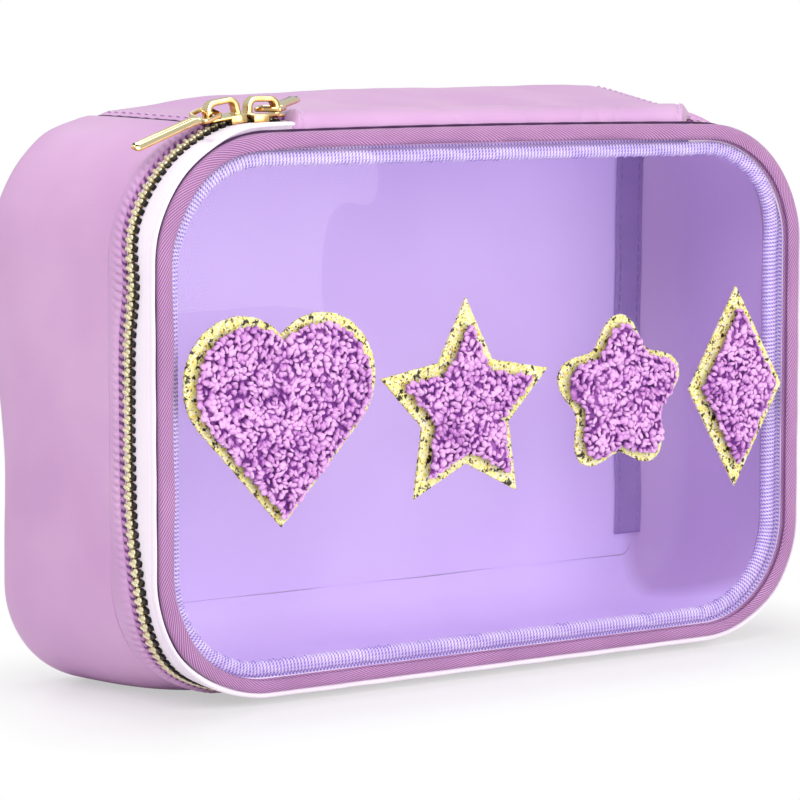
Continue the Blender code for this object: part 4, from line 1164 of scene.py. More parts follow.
def make_hem():
    """Rolled hem behind the chain, and the twisted cord beside it.

    The hem is pressed in by fine slanting puckers along its front edge, the square of 0.5 + 0.5 sin a.
    """
    front = HEM_FRONT - 0.2 * MM
    corners = [(front + 0.2 * MM, 1.3 * MM), (front, 0.1 * MM), (front + 0.9 * MM, -0.95 * MM),
               (front + 2.4 * MM, -0.6 * MM), (HEM_REAR, 0.15 * MM), (HEM_REAR + 1.1 * MM, 0.75 * MM),
               (HEM_REAR, 1.3 * MM)]
    section = resample(rounded_loop(corners, np.array([0.2, 0.7, 1.1, 1.1, 0.5, 0.2, 0.3]) * MM, 5), 38)
    along = spaced(TRACK_LEFT_ALONG, RIM_LENGTH - TRACK_RIGHT_X, 0.42 * MM)[:, None]
    depth, inset = section[:, 0], section[:, 1]
    uneven = 1 + 0.35 * np.sin(along / (9.1 * MM)) + 0.25 * np.sin(along / (3.7 * MM) + 2)
    slant = (depth - front) / (0.8 * MM)
    phase = 2 * math.pi * (along + 0.6 * MM * np.sin(along / (14 * MM))) / PUCKER_PITCH + slant
    pucker = (0.5 + 0.5 * np.sin(phase)) ** 2 * uneven * dip(depth - front - 0.8 * MM, 1.5 * MM)
    outside = smooth_step((1.0 * MM - inset) / (0.9 * MM))
    slow = 0.12 * MM * waves(place(along, depth), 0.02, 41)
    points = place(along, depth, inset + (0.62 * MM * pucker + slow) * outside)
    sewn("case_hem", drawn(points), "case", "lilac_leather", "gusset_hem")
    along = spaced(TRACK_LEFT_ALONG, RIM_LENGTH - TRACK_RIGHT_X, 0.5 * MM)[:, None]
    turn = circle(14)
    radius = 0.68 * MM * (1 + 0.14 * np.cos(turn + 2 * math.pi * along / PUCKER_PITCH))
    points = place(along, front - 0.3 * MM + radius * np.cos(turn), 0.55 * MM + radius * np.sin(turn))
    sewn("case_hem_cord", drawn(points), "case", "mauve_twill", look="hem_cord")


def strip_ends(depth):
    """Lengths round the rim of the hinge strip's slanting ends at a depth, the right one and the left one."""
    left = np.interp(depth, [0.5 * MM, 13 * MM], [65.8 * MM, 58.9 * MM])
    right = np.interp(depth, [0.5 * MM, 9 * MM, 14 * MM], [68.4 * MM, 75.4 * MM, 79.6 * MM])
    return -right, left


# Each wrinkle's place from the middle, its lean, its width and its depth, with lengths in mm.
STRIP_WRINKLES = ((14, 0.5, 1.1, 0.35), (11, 0.7, 0.8, 0.3), (-33, -0.6, 1.2, 0.4), (-38, -0.3, 1.0, 0.3),
                  (-46, -0.8, 1.2, 0.3), (40, 0.4, 1.5, 0.2))


def bend_with_lid(piece):
    """Fix a piece of the hinge strip where it stands, its placement baked into its mesh."""
    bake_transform(piece)


def strip_line():
    """Depths and insets of the hinge strip's section: even steps, smoothed by a 1 4 6 4 1 mean."""
    outer = np.array([(0.3, 6.4), (0.3, 3.2), (0.35, 0.7), (1.2, -0.9), (3.2, -2.1), (6.0, -2.75),
                      (10.2, -2.95), (13.2, -2.5), (15.6, -1.1), (16.9, 0.7), (17.1, 1.4)]) * MM
    walked = lengths_walked(outer)
    line = values_at(np.linspace(0, walked[-1], 46), walked, outer)
    kernel = np.array([1, 4, 6, 4, 1]) / 16
    padded_line = np.concatenate([line[:1], line[:1], line, line[-1:], line[-1:]])
    return np.stack([np.convolve(column, kernel, "valid") for column in padded_line.T], -1)


def make_hinge():
    """Folded strip over the top front edge: one leather shell across the seam of the case and the lid.

    Its section is carried along the top and pressed in by swells, wrinkles, the lap and the drawn-in ends.
    """
    line = strip_line()
    inward = sideways(line)
    share = np.linspace(0, 1, 260)
    share = np.unique(np.concatenate([share, 0.03 * share ** 2, 1 - 0.03 * share ** 2]))[:, None]
    start, end = strip_ends(np.clip(line[:, 0], 0.5 * MM, 14 * MM))
    along = start + (end - start) * share
    top = smooth_step((3 * MM - line[:, 1]) / (3 * MM))
    spot = place(along, line[:, 0], line[:, 1])
    swell = 0.16 * MM * waves(spot, 0.035, 51) + 0.05 * MM * waves(spot, 0.008, 52)
    wrinkles = sum(height * MM * dip(along - centre * MM - lean * (line[:, 0] - 5 * MM), width * MM)
                   for centre, lean, width, height in STRIP_WRINKLES)
    lap = -0.25 * MM * smooth_step((along + 12 * MM) / (0.6 * MM))
    near_end = np.minimum(along - start, end - along)
    ends_in = (0.3 * MM * dip(near_end - 3.6 * MM, 0.9 * MM)
               + 3.4 * MM * np.clip(1 - near_end / (2.2 * MM), 0, 1) ** 1.6)
    press = (swell + wrinkles + lap + ends_in) * top
    outer, inner = (place(along, line[:, 0] + offset * inward[:, 0], line[:, 1] + offset * inward[:, 1])
                    for offset in (press, press + LEATHER))
    points = np.concatenate([outer, inner[:, ::-1]], 1)
    strip = sheet_piece("lid_hinge_strip", points, finish("lilac_leather"), sharp=50)
    bend_with_lid(strip)
    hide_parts("hinge_strip_front", "hinge_strip_rear")
    sewn_part = slice(6, 34)
    for name, side, ends in (("left", 1, end), ("right", -1, start)):
        near = ends[sewn_part]
        row = np.argmin(np.abs(along[:, sewn_part] - (near - side * 3 * MM)), 0)
        stitches = thread_row(outer[:, sewn_part][row, np.arange(len(near))],
                              rim_frames(near, line[sewn_part, 0])[3])
        thread = joined_piece(f"lid_hinge_thread_{name}", [stitches], finish("sewing_thread"))
        bend_with_lid(thread)


def tape_piece(name, node, body, starts, ends, section):
    """Tape: a closed section of depths and insets carried from its start to its end, which may slant."""
    depth, inset = section[:, 0], section[:, 1]
    share = np.linspace(0, 1, max(8, int((np.mean(ends) - np.mean(starts)) / (1.5 * MM))))[:, None]
    along = starts + (ends - starts) * share
    ripple = 0.05 * MM * np.sin(along / (4.1 * MM)) + 0.05 * MM * np.sin(along / (11 * MM) + 1)
    sewn(name, drawn(place(along, depth, inset + ripple)), body, "white_zip_tape", node)


def folded_section(hidden):
    """Section of the front tape, flat under the teeth and turned in at the lid's seam to a hidden inset."""
    rear = CHAIN_DEPTH / MM - 1.1
    corners = np.array([(0.45, hidden), (0.45, 2.1), (0.75, 0.95), (3.5, 0.75), (rear - 0.8, 0.95),
                        (rear, 1.3), (rear, 1.7), (1.05, 1.7), (1.05, hidden)]) * MM
    return resample(rounded_loop(corners, 0.35 * MM), 72)


TOOTH_LEAN = math.radians(17)


def tooth_block(corners, bevel, levels):
    """Bevelled block: its outline drawn in by each level's share, from the lowest level to the crown."""
    outline = rounded_loop(np.array(corners) * MM, bevel * MM, 1)
    rings = [np.column_stack([shrunk(outline, shrink * MM), np.full(len(outline), level * MM)])
             for level, shrink in levels]
    return domed_shell(np.stack(rings))


def tooth_shells(side):
    """Bright head and dark leg of a tooth, drawn in the plane of the rim and the depth; the leg's dark is
    painted shade.
    """
    if side == 1:
        head = tooth_block([(-0.5, -1.9), (0.5, -1.9), (0.6, -1.0), (0.42, 0), (-0.42, 0), (-0.6, -1.0)],
                           0.2, ((-1.5, 0.05), (-0.5, 0), (-0.22, 0.06), (-0.05, 0.22)))
        leg = tooth_block([(-0.8, -3.5), (0.8, -3.5), (0.85, -1.3), (-0.85, -1.3)],
                          0.3, ((-1.6, 0), (-0.6, 0), (-0.35, 0.18)))
    else:
        head = tooth_block([(-0.55, 1.5), (0.55, 1.5), (0.64, 0), (0.42, -1.2), (-0.42, -1.2), (-0.64, 0)],
                           0.2, ((-1.5, 0.05), (-0.45, 0), (-0.12, 0.06), (0.08, 0.24)))
        # The rear leg is wide, so that its painted shade fills the gaps between the rows.
        leg = tooth_block([(-1.15, 2.3), (1.15, 2.3), (1.15, -1.0), (-1.15, -1.0)],
                          0.3, ((-1.6, 0), (-1.1, 0), (-0.85, 0.15)))
    return head, leg


def tooth_row(name, node, body, first, count, side):
    """Row of leaning teeth on the chain's line.

    A tooth's x runs along the rim, y backwards and z outwards, with x and y turned by the lean.
    """
    along = first + (np.arange(count) + 0.5) * settings().tooth_pitch
    origin, forward, back, _ = rim_frames(along, np.full(count, CHAIN_DEPTH))
    origin = drawn(origin)
    back = np.broadcast_to((0.0, 1.0, 0.0), back.shape)
    ahead, rear = turned(forward, back, TOOTH_LEAN)
    axes = np.stack([unit(ahead), unit(rear), np.cross(back, forward)], 1)
    shells, hollow = [], []
    # Painted shade: each head darkens towards its lower part, and each leg is painted almost black for the
    # shade and dark reflections it shows.
    for template, low, high in zip(tooth_shells(side), (0.0, 0.93), (0.8, 1.0)):
        painted_low_shade = smooth_step((-0.35 * MM - template[0][:, Z]) / (0.5 * MM))
        shells.append(swarm(template, origin, axes))
        hollow.append(np.tile(low + (high - low) * painted_low_shade, count))
    assembled(name, shells, body, "antique_brass", node, sharp=35, hollow=hollow)


def stop_piece(node, along):
    """Clamped stop: a rounded and bevelled block round the end of a row."""
    origin, forward, _, _ = rim_frames(np.array([along]), np.array([CHAIN_DEPTH]))
    axes = np.stack([forward[0], (0, -1, 0), np.cross(forward[0], (0, -1, 0))])
    low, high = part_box(node)
    front, back = (corner[Y] - SEAM_Y - CHAIN_DEPTH for corner in (low, high))
    corners = rectangle(-0.55 * MM, -back, 0.55 * MM, -front)
    block = plate_shell(rounded_loop(corners, 0.3 * MM), -2.2 * MM, -0.05 * MM, 0.2 * MM, origin[0], axes)
    # Painted shade: bright where the metal faces outwards, darker at its sides and underneath.
    assembled(f"zip_{node.replace('zipper_', '')}", [block], "lid" if node.endswith("front") else "case",
              "antique_brass", node, sharp=40, hollow=[painted_facing_shade(block, axes[2])])


def make_zipper():
    """Tapes, teeth and stops of the zipper, and the rolled hem beside it."""
    make_hem()
    pitch = settings().tooth_pitch
    first = CHAIN_LEFT_ALONG + pitch / 2
    last = RIM_LENGTH - CHAIN_RIGHT_X
    count = int((last - first) / pitch)
    fixed = SLIDER_A_ALONG + SLIDER_LENGTH / 2 + 2.5 * MM
    end_count = math.ceil((fixed - first) / pitch)
    split = first + end_count * pitch
    tooth_row("zip_front_teeth", "front_zipper_teeth", "lid", split, count - end_count, 1)
    tooth_row("zip_front_teeth_end", "front_teeth_end", "case", first, end_count, 1)
    tooth_row("zip_rear_teeth", "rear_zipper_teeth", "case", first + pitch / 2, count, -1)
    section = folded_section(6.4)
    right = np.interp(section[:, 0], [0.5 * MM, 7 * MM], [68.7 * MM, 74 * MM])
    tape_piece("zip_front_tape", "front_zipper_tape", "lid", np.full(len(section), split), RIM_LENGTH - right,
               section)
    section = folded_section(3.4)
    left = np.interp(section[:, 0], [0.3 * MM, 1.5 * MM, 5 * MM, 7.5 * MM],
                     [66.4 * MM, 65.6 * MM, 63.6 * MM, 64.0 * MM])
    tape_piece("zip_front_tape_end", "front_tape_end", "case", left, np.full(len(section), split - 0.4 * MM),
               section)
    corners = [(CHAIN_DEPTH, 1.15 * MM), (HEM_FRONT, 0.7 * MM), (HEM_REAR, 1.1 * MM), (HEM_REAR, 1.5 * MM),
               (HEM_FRONT, 1.4 * MM), (CHAIN_DEPTH, 1.5 * MM)]
    section = resample(rounded_loop(corners, 0.2 * MM), 40)
    tape_piece("zip_rear_tape", "rear_zipper_tape", "case", np.full(len(section), TRACK_LEFT_ALONG),
               np.full(len(section), RIM_LENGTH - TRACK_RIGHT_X), section)
    stop_piece("zipper_stop_left", CHAIN_LEFT_ALONG)
    for node in ("zipper_stop_right_rear", "zipper_stop_right_front"):
        stop_piece(node, -middle(node)[X])


def binding_shift(along):
    """How far in the binding's outer edge and its inner edge lie from their plain places, in metres.

    With share = 1 - (x / 78 mm) ** 2 on the top, never below 0, and low going from 0 at the sides to 1
    along the bottom, they are 0.15 + 0.95 * low - 0.7 * share and -share, in millimetres.
    """
    spot = place(along, 0.0)
    top = smooth_step((spot[..., Z] - 0.9 * CASE_HEIGHT) / (0.08 * CASE_HEIGHT))
    share = np.clip(1 - (spot[..., X] / (78 * MM)) ** 2, 0, 1) * top
    low = 1 - smooth_step((spot[..., Z] - 2 * MM) / (14 * MM))
    return (0.15 + 0.95 * low - 0.7 * share) * MM, -share * MM


def make_binding():
    """Twill folded round the window's edge, full where it is stuffed by the seam."""
    corners = np.array([(-2.1, 6.5), (-2.55, 5.9), (-2.75, 4.4), (-2.6, 3.2), (-1.9, 2.2), (-0.8, 2.05),
                        (0, 2.45), (0, 6.9), (-0.6, 6.9), (-0.6, 2.85), (-1.65, 2.85), (-1.65, 6.5)]) * MM
    radii = np.array([0.25, 0.5, 1, 0.8, 0.8, 0.6, 0.5, 0.2, 0.2, 0.2, 0.2, 0.2]) * MM
    section = rounded_loop(corners, radii)
    along = round_rim(1.6 * MM)
    depth, inset = section[:, 0], section[:, 1]
    front = smooth_step((-1.7 * MM - depth) / (0.6 * MM))
    swell = 0.12 * MM * np.sin(along / (7.3 * MM)) + 0.09 * MM * np.sin(along / (3.1 * MM) + 2)
    edge = smooth_step((inset - 5.2 * MM) / (1.3 * MM)) * front
    outer, inner = binding_shift(along)
    moved = inset + outer + (inner - outer) * np.clip((inset - 2.05 * MM) / (4.45 * MM), 0, 1)
    points = place(along, depth - swell * front, moved + edge * 0.3 * MM * np.sin(along / (5.9 * MM) + 1))
    sewn("lid_twill_binding", points, "lid", "mauve_twill", "lid_binding", wrap_rows=True, sharp=70)


def make_seam_cord():
    """Dark cord that stands for the shade in the groove beside the binding: a circle carried round the rim,
    deeper along the bottom.
    """
    turn = circle(10)
    along = round_rim(1.2 * MM)
    radius = 0.32 * MM * (1 + 0.12 * np.sin(along / (1.7 * MM)))
    spot = place(along, 0.0)
    low = 1 - smooth_step((spot[..., Z] - 6 * MM) / (12 * MM))
    depth = -0.75 * MM + 0.85 * MM * low
    inset = 1.75 * MM + binding_shift(along)[0] + 0.8 * MM * smooth_step((spot[..., X] - 70 * MM) / (12 * MM))
    points = place(along, depth + radius * np.cos(turn), inset + radius * np.sin(turn))
    sewn("lid_seam_cord", points, "lid", "mauve_twill", look="seam_cord", wrap_rows=True)


def make_tape_roll():
    """White roll of the tape's folded edge beside the binding.

    Its section is shrunk towards its middle by sqrt(1 - (1 - d / r) ** 2) within a distance r of each end.
    """
    start, end = 66.2 * MM, RIM_LENGTH - 69 * MM
    cap = 1.3 * MM
    steps = cap * np.linspace(0, 1, 9) ** 2
    between = spaced(start + 2 * cap, end - 2 * cap, 1.2 * MM)
    along = np.concatenate([start + steps, between, end - steps[::-1]])[:, None]
    spot = place(along, 0.0)
    rise = smooth_step((spot[..., Z] - 0.93 * CASE_HEIGHT) / (0.06 * CASE_HEIGHT)) * (spot[..., X] < 0)
    near, far = 1.6 * MM + binding_shift(along)[0], (0.8 - 0.4 * rise) * MM
    corners = [(0.25, 0.0), (-1.0, 0.0), (-1.55, 0.25), (-1.6, 0.6), (-1.0, 0.97), (0.25, 1.0)]
    section = resample(rounded_loop(corners, [0.05, 0.2, 0.3, 0.3, 0.5, 0.1], 4), 28)
    from_end = np.minimum(along - start, end - along)
    full = np.sqrt(np.clip(1 - (1 - np.minimum(from_end / cap, 1)) ** 2, 0.0004, 1))
    depth = -0.4 * MM + (section[:, 0] * MM + 0.4 * MM) * full
    inset = near + (far - near) * (0.5 + (section[:, 1] - 0.5) * full)
    ripple = 0.05 * MM * np.sin(along / (2.9 * MM))
    sewn("lid_tape_roll", drawn(place(along, depth, inset + ripple)), "lid", "white_zip_tape")


def make_braid():
    """Ribbed braid inside the binding, with uneven ribs and a scalloped inner edge.

    With rib = 0.5 + 0.5 cos a and a once round for each rib, it is pressed in by h * (1 - rib ** 0.7).
    """
    sizes = settings()
    corners = np.array([(1.2, 5.5), (1.2, 7.0), (0.2, 7.1), (-0.4, 7.5), (-0.5, 9.2), (-0.2, 10.5),
                        (0.8, 11.3), (2.2, 11.2), (2.65, 10.4), (2.65, 5.5)]) * MM
    radii = np.array([0.2, 0.3, 0.5, 0.8, 0.9, 0.7, 0.7, 0.6, 0.5, 0.2]) * MM
    section = resample(rounded_loop(corners, radii), 26)
    along = round_rim(0.19 * MM)
    depth, inset = section[:, 0], section[:, 1]
    warp = 0.22 * MM * np.sin(along / (5.1 * MM)) + 0.12 * MM * np.sin(along / (2.3 * MM) + inset / (2 * MM))
    turn = 2 * math.pi * (along + warp) / sizes.rib_pitch + 1.5 * np.sin(inset / (0.9 * MM))
    rib = 0.5 + 0.5 * np.cos(turn)
    inward = sideways(section)
    if np.sum(inward * (section.mean(0) - section)) < 0:
        inward = -inward
    shown = smooth_step((inset - 7.0 * MM) / (0.8 * MM))
    press = sizes.rib_height * (1 - rib ** 0.7) * shown
    scallop = 0.3 * MM * np.abs(np.sin(math.pi * along / (3 * sizes.rib_pitch))) * smooth_step(
        (inset - 10.3 * MM) / (0.9 * MM))
    low = 1 - smooth_step((place(along, 0)[..., Z] - 0.72 * CASE_HEIGHT) / (0.2 * CASE_HEIGHT))
    deeper = 2.2 * MM * low * smooth_step((inset - 5.4 * MM) / (1.8 * MM))
    points = place(along, depth + press * inward[:, 0] + deeper, inset + press * inward[:, 1] - scallop)
    sewn("lid_ribbed_braid", points, "lid", "lavender_braid", "lid_inner_braid", wrap_rows=True)


def film_billow(grid):
    """Waves that fade towards the sewn edge by 1 - s ** 4 across and upwards."""
    across = np.abs(grid[..., X]) / (CASE_WIDTH / 2 - BINDING_INSET)
    upright = np.abs(2 * grid[..., Z] / CASE_HEIGHT - 1)
    return settings().film_wave * waves(grid, 0.05, 61) * (1 - across ** 4) * (1 - upright ** 4)


def make_window():
    """Clear film in the binding's slot, lightly waved by its sewing."""
    front, back = (reach("lid_window", side, Y) - SEAM_Y for side in (LOW, HIGH))
    panel_piece("lid_window_film", "lid_window", "clear_film", "lid", 0.0, 3.1 * MM, front, back, film_billow,
                sagging=False)


def make_lid():
    """Binding, seam cord, tape roll, braid and window of the lid."""
    make_binding()
    make_seam_cord()
    make_tape_roll()
    make_braid()
    make_window()


HEART_HEIGHT_SHARE = 0.93
HEART_LOBE_SHARE = 0.29
STAR_INNER_SHARE = 0.52
FLOWER_PETAL_SHARE = 0.17


def heart_outline(width, _):
    """Two arcs, centre + r (cos a, sin a), from the notch round each lobe to the straight sides."""
    radius = width * HEART_LOBE_SHARE
    lobe_x, height = width / 2 - radius, width * HEART_HEIGHT_SHARE
    lobe_z = height / 2 - radius
    drop = height / 2 + lobe_z
    half_tip = math.asin(radius / math.hypot(lobe_x, drop)) + math.atan2(lobe_x, drop)
    angle = np.linspace(math.pi - math.acos(lobe_x / radius), -half_tip, 60)
    lobe = np.stack([lobe_x + radius * np.cos(angle), lobe_z + radius * np.sin(angle)], -1)
    return np.concatenate([lobe, [(0, -height / 2)], lobe[:0:-1] * (-1, 1)])


def star_outline(width, _):
    """Ten corners: (r sin a, r cos a) with r taking its long and its short value in turn."""
    turn = math.pi * np.arange(10) / 5
    radius = width / 2 / math.sin(math.radians(72)) * np.where(np.arange(10) % 2 == 0, 1, STAR_INNER_SHARE)
    return np.stack([radius * np.sin(turn), radius * np.cos(turn)], -1)


def flower_outline(width, _):
    """Five petals: radius r (1 + p cos 5a)."""
    turn = circle(150)
    radius = width / 2 / (1 + FLOWER_PETAL_SHARE) * (1 + FLOWER_PETAL_SHARE * np.cos(5 * turn))
    return np.stack([radius * np.sin(turn), radius * np.cos(turn)], -1)


def diamond_outline(width, height):
    """Four corners on the axes."""
    return np.array([(0, height / 2), (width / 2, 0), (0, -height / 2), (-width / 2, 0)])


PATCH_OUTLINES = {"heart": heart_outline, "star": star_outline, "flower": flower_outline,
                  "diamond": diamond_outline}
STAR_BORDER = 3.6 * MM
PAD_POINTS = 140
GLITTER_POINTS = 260


def inside(points, outline):
    """Whether points lie in an outline: an odd number of its edges cross the line to their right."""
    x, z = points[:, None, 0], points[:, None, 1]
    start, end = outline[None], np.roll(outline, -1, 0)[None]
    crosses = (start[..., 1] > z) != (end[..., 1] > z)
    rise = np.where(np.abs(end[..., 1] - start[..., 1]) < 1e-12, 1e-12, end[..., 1] - start[..., 1])
    at_x = start[..., 0] + (z - start[..., 1]) / rise * (end[..., 0] - start[..., 0])
    return (crosses & (x < at_x)).sum(1) % 2 == 1


def edge_distance(points, outline):
    """Distance of points from the nearest edge of an outline."""
    start, along = outline[None], (np.roll(outline, -1, 0) - outline)[None]
    away = points[:, None] - start
    part = np.clip((away * along).sum(-1) / np.maximum((along ** 2).sum(-1), 1e-18), 0, 1)
    return np.linalg.norm(away - part[..., None] * along, axis=-1).min(1)


def loop_shell():
    """One curled loop of yarn, standing on its two ends, and leaning a little out of its plane."""
    turn = np.linspace(-0.3, math.pi + 0.3, 9)
    line = np.stack([0.66 * MM * np.cos(turn), 0.85 * MM * np.sin(turn)], -1)
    thickness = settings().yarn_radius * np.array([0.8, 0.95, 1.05, 1.1, 1.12, 1.1, 1.05, 0.95, 0.8])
    points, faces, flip = tube_shell(line, thickness, 7)
    points[:, Y] += 0.35 * points[:, Z] ** 2 / (0.85 * MM)
    return points, faces, flip


def pile_piece(name, outline, centre, seed):
    """Looped pile: a low dome with loops stood on it, and a row of loops that lean out at its edge.

    The dome's rings are shares of the outline. A loop's lift follows lumps of smooth noise, and the
    painted shade of its points is 1.1 * (1 - height / crown height), less what the lumps and chance give.
    """
    source = np.random.default_rng(seed)
    node = f"{name}_pile"
    back, front = reach(node, HIGH, Y), reach(node, LOW, Y)
    spacing = settings().tuft_spacing
    base = resample(shrunk(resample(outline, PAD_POINTS), 0.45 * MM), PAD_POINTS)
    levels = ((1.0, 0.0), (1.0, 0.3), (0.985, 0.5), (0.95, 0.6), (0.85, 0.65), (0.6, 0.67), (0.3, 0.67))
    rings = [np.column_stack([base[:, 0] * share, np.full(PAD_POINTS, back + (front - back) * rise),
                              base[:, 1] * share]) for share, rise in levels]
    pad = domed_shell(np.stack(rings) + (centre[0], 0, centre[1]))
    size = np.abs(outline).max() + spacing
    steps = np.arange(-size, size, spacing)
    x, z = np.meshgrid(steps, steps * math.sqrt(3) / 2)
    x = x + spacing / 2 * (np.arange(x.shape[0])[:, None] % 2)
    spots = np.stack([x.ravel(), z.ravel()], -1)
    spots += source.normal(0, 0.17 * spacing, spots.shape)
    spots = spots[inside(spots, outline)]
    spots = spots[edge_distance(spots, outline) > 0.75 * spacing]
    length_round = np.linalg.norm(np.roll(outline, -1, 0) - outline, axis=1).sum()
    border = resample(outline, int(length_round / (0.8 * spacing)))
    normal = unit(shrunk(border, 1 * MM) - border)
    spots = np.concatenate([spots, border + normal * 0.62 * MM])
    lean_out = np.concatenate([np.zeros((len(spots) - len(border), 2)), -normal])
    count = len(spots)
    edge = edge_distance(spots, outline)
    lump = waves(np.stack([spots[:, 0], spots[:, 1], 0 * spots[:, 0]], -1), 0.007, seed + 5)
    lift = back + (front - back) * (0.3 + 0.28 * smooth_step(edge / (1.6 * MM)) + 0.06 * lump
                                    + source.uniform(-0.07, 0.07, count))
    origins = np.stack([centre[0] + spots[:, 0], lift, centre[1] + spots[:, 1]], -1)
    turn = source.uniform(0, 2 * math.pi, count)
    tilt = source.normal(0, 0.42, (count, 2)) + 0.9 * lean_out
    upward = unit(np.stack([tilt[:, 0], np.full(count, -1.0), tilt[:, 1]], -1))
    ahead = np.stack([np.cos(turn), np.zeros(count), np.sin(turn)], -1)
    ahead = unit(ahead - upward * (ahead * upward).sum(-1, keepdims=True))
    axes = np.stack([ahead, np.cross(upward, ahead), upward], 1)
    scales = source.uniform(0.82, 1.25, count)
    template = loop_shell()
    loops = swarm(template, origins, axes, scales)
    # Painted shade: the loops darken towards their feet, and the dome under them takes 0.72.
    low = 1 - np.clip(template[0][:, 2] / (1.15 * MM), 0, 1)
    depth = np.tile(low, count) * 1.1 + np.repeat(-0.12 * lump + source.uniform(-0.1, 0.1, count), len(low))
    assembled(f"patch_{name}_pile", [pad, loops], "lid", "orchid_pile", node,
              hollow=[0.72, np.clip(depth, 0, 1)])


def make_patches():
    """Four patches on the window: a cut glitter sheet and a looped pile on each."""
    for seed, (name, outline) in enumerate(PATCH_OUTLINES.items()):
        backing, pile = (outline(high[X] - low[X], high[Z] - low[Z])
                         for low, high in (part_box(f"{name}_backing"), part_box(f"{name}_pile")))
        centre_x, centre_z = middle(f"{name}_backing")[X], middle("diamond_backing")[Z]
        edge, count = resample(backing, GLITTER_POINTS), np.arange(GLITTER_POINTS)
        ragged = 0.09 * MM * np.sin(count * 1.9) + 0.07 * MM * np.sin(count * 0.77)
        edge = shrunk(edge, 0.12 * MM) + unit(edge) * ragged[:, None]
        front, back = (reach(f"{name}_backing", side, Y) for side in (LOW, HIGH))
        rings = [np.column_stack([centre_x + loop[:, 0], np.full(len(loop), y), centre_z + loop[:, 1]])
                 for loop, y in ((edge, back), (edge, front + 0.15 * MM), (shrunk(edge, 0.15 * MM), front))]
        assembled(f"patch_{name}_glitter", [shell(np.stack(rings))], "lid", "gold_glitter",
                  f"{name}_backing", sharp=30)
        if name == "star":
            pile = shrunk(backing, STAR_BORDER)
        if name in ("heart", "star"):
            pile = resample(pile, 160)
        pile_piece(name, pile, (centre_x, centre_z), 70 + seed)


def slider_axes(along):
    """Origin and axes of a slider: x along the rim, y to the front and z outwards."""
    origin, forward, _, _ = rim_frames(np.array([along]), np.array([CHAIN_DEPTH]))
    front = np.array([0.0, -1.0, 0.0])
    return origin[0], np.stack([forward[0], front, np.cross(forward[0], front)])


def slider_shells(narrow_end, origin, axes):
    """Slider: a waisted bevelled plate, its turned-down front lip, and a post under each bridge end."""
    half, wide, narrow = SLIDER_LENGTH / 2, 4.2 * MM, 3.4 * MM
    side = np.array([(-half, narrow - 0.4 * MM), (-half + 0.7 * MM, wide), (0, wide), (0.5 * half, narrow),
                     (half - 0.6 * MM, narrow), (half, narrow - 0.7 * MM)]) * (narrow_end, 1)
    outline = rounded_loop(np.concatenate([side, side[::-1] * (1, -1)]), 0.9 * MM, 3)
    plate = plate_shell(outline, 1.1 * MM, 2.1 * MM, 0.3 * MM, origin, axes)
    start, end = sorted((-narrow_end * (half - 0.7 * MM), -narrow_end * 0.2 * MM))
    lip = rounded_loop(rectangle(start, 3.45 * MM, end, 4.25 * MM), 0.3 * MM)
    front_lip = plate_shell(lip, -0.3 * MM, 1.7 * MM, 0.2 * MM, origin, axes)
    shells = [plate, front_lip]
    for x in (-4.2 * MM, 4.2 * MM):
        foot = rounded_loop(rectangle(x - 1.1 * MM, -1.55 * MM, x + 1.1 * MM, 1.55 * MM), 0.5 * MM)
        shells.append(plate_shell(foot, 1.9 * MM, 2.35 * MM, 0.12 * MM, origin, axes))
    return shells


def bridge_shell(origin, axes):
    """Bridge: a bevelled strap carried along legs and a rounded top. Its section turns with the line."""
    half, base, top, radius = 4.3 * MM, 2.15 * MM, 5.85 * MM, 2.1 * MM
    turn = np.linspace(0, math.pi / 2, 8)
    right = np.stack([half - radius + radius * np.cos(turn), top - radius + radius * np.sin(turn)], -1)
    line = np.concatenate([[(half + 0.25 * MM, base)], [(half, base + 0.8 * MM)], right,
                           right[::-1] * (-1, 1), [(-half, base + 0.8 * MM)], [(-half - 0.25 * MM, base)]])
    side = sideways(line)
    section = rounded_loop(rectangle(-0.8 * MM, -1.5 * MM, 0.75 * MM, 1.5 * MM), 0.35 * MM, 2)
    points = together(line[:, None, 0] + side[:, None, 0] * section[:, 0], section[:, 1],
                      line[:, None, 1] + side[:, None, 1] * section[:, 0])
    return shell(origin + points @ axes)


